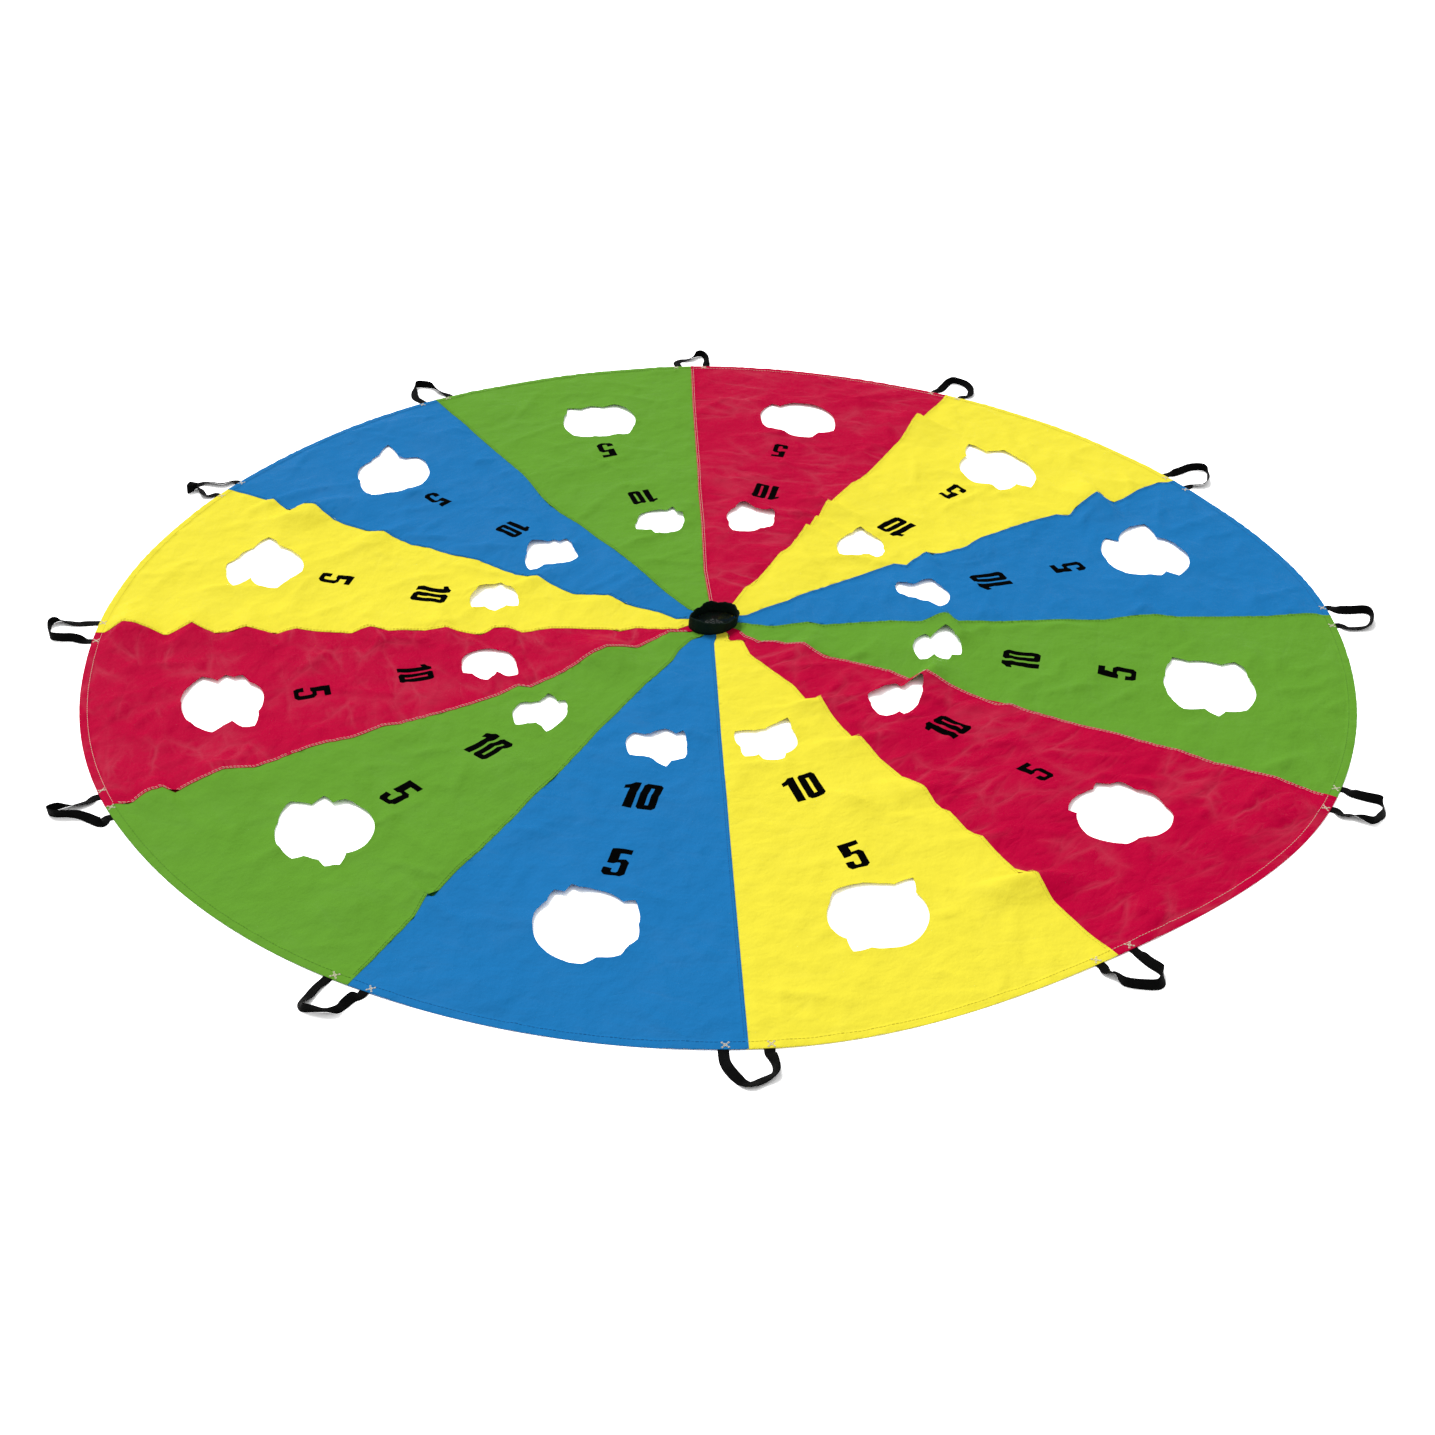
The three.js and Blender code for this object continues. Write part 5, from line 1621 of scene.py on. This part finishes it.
def tack_lines():
    """The four lines of a doubled cross tack, as starts and ends round its middle."""
    thread = sizes("thread")
    half = thread.tack_side / 2
    lines = []
    for side in (-1, 1):
        for apart in (-1, 1):
            shift = Vector((apart, -apart * side, 0)) * thread.tack_diameter / 2
            lines.append((Vector((half, half * side, 0)) + shift, Vector((-half, -half * side, 0)) + shift))
    return lines


class PARACHUTE_OT_tacks(bpy.types.Operator):
    """Sews the doubled cross tacks that hold the handles' legs under the hem"""

    bl_idname = "parachute.tacks"
    bl_label = "Tacks"

    def execute(self, context):
        handle = sizes("handle")
        thread = sizes("thread")
        back = -sizes("canopy").hem_width / 2
        lift = np.array([0, 0, thread.tack_diameter * TACK_LIFT_SHARE])
        starts = []
        ends = []
        for seam in range(1, GORE_COUNT + 1):
            seat = handle_seat(seam)
            for side in (-1, 1):
                middle = Vector((back, side * (handle.opening_half + handle.width / 2), 0))
                for here, there in tack_lines():
                    count = max(1, round((there - here).length / thread.pitch * TACK_COUNT_SHARE))
                    for step in range(count):
                        start = here.lerp(there, (step + TACK_END_SHARE) / count)
                        end = here.lerp(there, (step + 1 - TACK_END_SHARE) / count)
                        starts.append(cloth_at(seat @ (middle + start)) + lift)
                        ends.append(cloth_at(seat @ (middle + end)) + lift)
        material = thread_material("undyed")
        stitches("handle_tacks", np.array(starts), np.array(ends), thread.tack_diameter, material)
        return {"FINISHED"}


class PARACHUTE_OT_collar(bpy.types.Operator):
    """Makes the soft collar round the vent"""

    bl_idname = "parachute.collar"
    bl_label = "Collar"

    def execute(self, context):
        collar = sizes("collar")
        base = 2 * sizes("canopy").thickness
        vertices = []
        places = []
        for step in range(COLLAR_STEPS):
            angle = math.tau * step / COLLAR_STEPS
            inner = float(collar_inner(angle))
            height = collar.height * float(collar_share(angle, "height"))
            sway = COLLAR_SWAY_SHARE * math.sin(COLLAR_SWAYS * angle + COLLAR_SWAY_PHASE)
            lean = collar.lean * (float(collar_share(angle, "lean")) + sway)
            ripple = sum(size * math.sin(count * angle + phase) for size, count, phase in COLLAR_RIPPLES)
            for thick, high in COLLAR_OUTLINE_SHARES:
                out = inner + collar.thickness * thick + lean * high * high + ripple * high
                up = base + height * high + ripple * high
                vertices.append((out * math.cos(angle), out * math.sin(angle), up))
                places.append((inner * angle, height * high + (COLLAR_FACE_OFFSET if thick > 0.5 else 0)))
        faces = turned_over(sleeve_faces(COLLAR_STEPS, len(COLLAR_OUTLINE_SHARES), closed=True))
        piece = mesh_object("collar_tape", vertices, faces, [collar_material()])
        lay_uv(piece, places)
        shade(piece)
        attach(piece, "canopy")
        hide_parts("centre_collar")
        return {"FINISHED"}


def net_line(row, direction):
    """The points of one of the net's threads, which runs along x or y and goes over and under the others."""
    collar = sizes("collar")
    pitch = collar.net_pitch
    radius = collar.net_thread / 2
    base = 2 * sizes("canopy").thickness + collar.net_thread
    reach = math.ceil(collar.radius * NET_REACH_SHARE / pitch)
    line = []
    for step in range(-2 * reach, 2 * reach + 1):
        travel = step * pitch / 2
        x, y = (travel, row * pitch) if direction == 0 else (row * pitch, travel)
        if math.hypot(x, y) <= float(collar_inner(math.atan2(y, x))) - radius * 2:
            over = math.cos(math.pi * (step / 2 + row + direction))
            line.append(Vector((x, y, base + radius * NET_WEAVE_SHARE * over)))
    return line


class PARACHUTE_OT_net(bpy.types.Operator):
    """Makes the net inside the collar"""

    bl_idname = "parachute.net"
    bl_label = "Net"

    def execute(self, context):
        collar = sizes("collar")
        reach = math.ceil(collar.radius * NET_REACH_SHARE / collar.net_pitch)
        vertices = []
        faces = []
        for direction in (0, 1):
            for row in range(-reach, reach + 1):
                line = net_line(row, direction)
                if len(line) > 2:
                    add_tube(line, collar.net_thread / 2, vertices, faces)
        piece = mesh_object("centre_net_threads", vertices, faces, [net_material()])
        shade(piece)
        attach(piece, "canopy")
        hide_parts("centre_net")
        return {"FINISHED"}


def add_tube(line, radius, vertices, faces):
    """Adds a closed tube along a line of points to lists of vertices and faces."""
    first = len(vertices)
    for number, point in enumerate(line):
        along = (line[min(number + 1, len(line) - 1)] - line[max(number - 1, 0)]).normalized()
        aside = along.cross(Vector((0, 0, 1))).normalized()
        upward = aside.cross(along)
        for side in range(NET_SIDES):
            turn = math.tau * side / NET_SIDES
            vertices.append(point + aside * math.cos(turn) * radius + upward * math.sin(turn) * radius)
    faces += [tuple(first + corner for corner in face) for face in sleeve_faces(len(line), NET_SIDES)]
    faces.append(tuple(range(first, first + NET_SIDES)))
    faces.append(tuple(reversed(range(len(vertices) - NET_SIDES, len(vertices)))))


class PARACHUTE_OT_stage(bpy.types.Operator):
    """Sets the floor, the light and the camera"""

    bl_idname = "parachute.stage"
    bl_label = "Stage"

    def execute(self, context):
        stage = sizes("stage")
        half = stage.floor_size / 2
        plan = ((-half, -half), (half, -half), (half, half), (-half, half))
        corners = [(x, y, -stage.floor_clearance) for x, y in plan]
        mesh_object("floor", corners, [(0, 1, 2, 3)], [floor_material()])
        set_world()
        set_lamp()
        set_camera()
        context.scene.view_settings.view_transform = "Standard"
        return {"FINISHED"}


def set_lamp():
    """One large soft lamp, high behind the object."""
    stage = sizes("stage")
    lamp_data = bpy.data.lights.new("studio_lamp", "SUN")
    lamp_data.energy = stage.lamp_strength
    lamp_data.angle = stage.lamp_softness
    lamp = bpy.data.objects.new("studio_lamp", lamp_data)
    bpy.context.scene.collection.objects.link(lamp)
    level = math.cos(stage.lamp_height)
    towards = Vector((
        math.sin(stage.lamp_turn) * level, math.cos(stage.lamp_turn) * level, math.sin(stage.lamp_height)
    ))
    lamp.rotation_mode = "QUATERNION"
    lamp.rotation_quaternion = towards.to_track_quat("Z", "Y")


def set_camera():
    """The camera, in front of the parachute and well above it."""
    stage = sizes("stage")
    camera_data = bpy.data.cameras.new("camera")
    camera_data.lens = stage.camera_lens
    camera_data.sensor_width = stage.camera_sensor
    camera_data.sensor_fit = "HORIZONTAL"
    camera = bpy.data.objects.new("camera", camera_data)
    bpy.context.scene.collection.objects.link(camera)
    turn = Matrix.Rotation(-stage.camera_turn, 4, "Z")
    dip = Matrix.Rotation(math.pi / 2 - stage.camera_dip, 4, "X")
    roll = Matrix.Rotation(stage.camera_roll, 4, "Z")
    camera.matrix_world = Matrix.Translation(stage.camera_place) @ turn @ dip @ roll
    bpy.context.scene.camera = camera


def seen_share(tree):
    """1 for rays from the camera, off glossy surfaces and through clear ones, so that all see the same
    white."""
    path = add_node(tree, "ShaderNodeLightPath").outputs
    near = add_node(
        tree, "ShaderNodeMath", {0: path["Is Camera Ray"], 1: path["Is Glossy Ray"]}, operation="MAXIMUM"
    ).outputs[0]
    return add_node(
        tree, "ShaderNodeMath", {0: near, 1: path["Is Transmission Ray"]}, operation="MAXIMUM"
    ).outputs[0]


def floor_material():
    """Matt studio paper. Where it is seen it is bright enough to be plain white in full light, and it keeps
    the shadows that lie on it."""
    material, tree = new_material("studio_paper")
    base = list(sizes("colours").floor)
    place = add_node(tree, "ShaderNodeTexCoord").outputs["Object"]
    grain = add_node(
        tree, "ShaderNodeTexNoise", {"Vector": place, "Scale": per(PAPER_GRAIN), "Detail": 2.0}
    ).outputs["Fac"]
    relief = add_node(
        tree, "ShaderNodeBump", {"Strength": 0.1, "Distance": PAPER_DEPTH, "Height": grain}
    ).outputs[0]
    paper = add_node(tree, "ShaderNodeBsdfDiffuse", {"Color": base, "Normal": relief}).outputs[0]
    seen = add_node(
        tree, "ShaderNodeBsdfDiffuse", {"Color": toned(base, SEEN_FLOOR_SHARE), "Normal": relief}
    ).outputs[0]
    surface = add_node(tree, "ShaderNodeMixShader", {0: seen_share(tree), 1: paper, 2: seen}).outputs[0]
    add_node(tree, "ShaderNodeOutputMaterial", {"Surface": surface})
    return material


def set_world():
    """White all round for the camera and for reflections, and plain soft light for everything else."""
    world = bpy.data.worlds.new("studio")
    world.use_nodes = True
    tree = world.node_tree
    tree.nodes.clear()
    sky = add_node(
        tree, "ShaderNodeBackground", {"Color": (1, 1, 1, 1), "Strength": sizes("stage").sky_strength}
    ).outputs[0]
    white = add_node(tree, "ShaderNodeBackground", {"Color": (1, 1, 1, 1), "Strength": 1.0}).outputs[0]
    mixed = add_node(tree, "ShaderNodeMixShader", {0: seen_share(tree), 1: sky, 2: white}).outputs[0]
    add_node(tree, "ShaderNodeOutputWorld", {"Surface": mixed})
    bpy.context.scene.world = world


class PARACHUTE_PT_panel(bpy.types.Panel):
    """Lists the parachute's pieces and sizes"""

    bl_idname = "PARACHUTE_PT_panel"
    bl_label = "Toy parachute"
    bl_space_type = "VIEW_3D"
    bl_region_type = "UI"
    bl_category = "Parachute"

    def draw(self, context):
        for operator in OPERATORS:
            self.layout.operator(operator.bl_idname)
        for name, group in GROUPS.items():
            box = self.layout.box()
            box.label(text=name.capitalize())
            for key in group.__annotations__:
                box.prop(getattr(context.scene, "parachute_" + name), key)


GROUPS = {
    "canopy": CanopySizes,
    "number": NumberSizes,
    "handle": HandleSizes,
    "collar": CollarSizes,
    "thread": ThreadSizes,
    "colours": PartColours,
    "stage": StageSizes,
}
OPERATORS = (
    PARACHUTE_OT_stage,
    PARACHUTE_OT_gores,
    PARACHUTE_OT_stitching,
    PARACHUTE_OT_handles,
    PARACHUTE_OT_tacks,
    PARACHUTE_OT_collar,
    PARACHUTE_OT_net,
)


def register():
    """Registers the sizes, the operators and the panel."""
    for name, group in GROUPS.items():
        bpy.utils.register_class(group)
        setattr(bpy.types.Scene, "parachute_" + name, PointerProperty(type=group))
    for operator in OPERATORS:
        bpy.utils.register_class(operator)
    bpy.utils.register_class(PARACHUTE_PT_panel)


def unregister():
    """Takes the sizes, the operators and the panel away again."""
    bpy.utils.unregister_class(PARACHUTE_PT_panel)
    for operator in reversed(OPERATORS):
        bpy.utils.unregister_class(operator)
    for name, group in reversed(GROUPS.items()):
        delattr(bpy.types.Scene, "parachute_" + name)
        bpy.utils.unregister_class(group)


def main():
    """Makes every piece."""
    register()
    for operator in OPERATORS:
        group, name = operator.bl_idname.split(".")
        getattr(getattr(bpy.ops, group), name)()


if __name__ == "__main__":
    main()
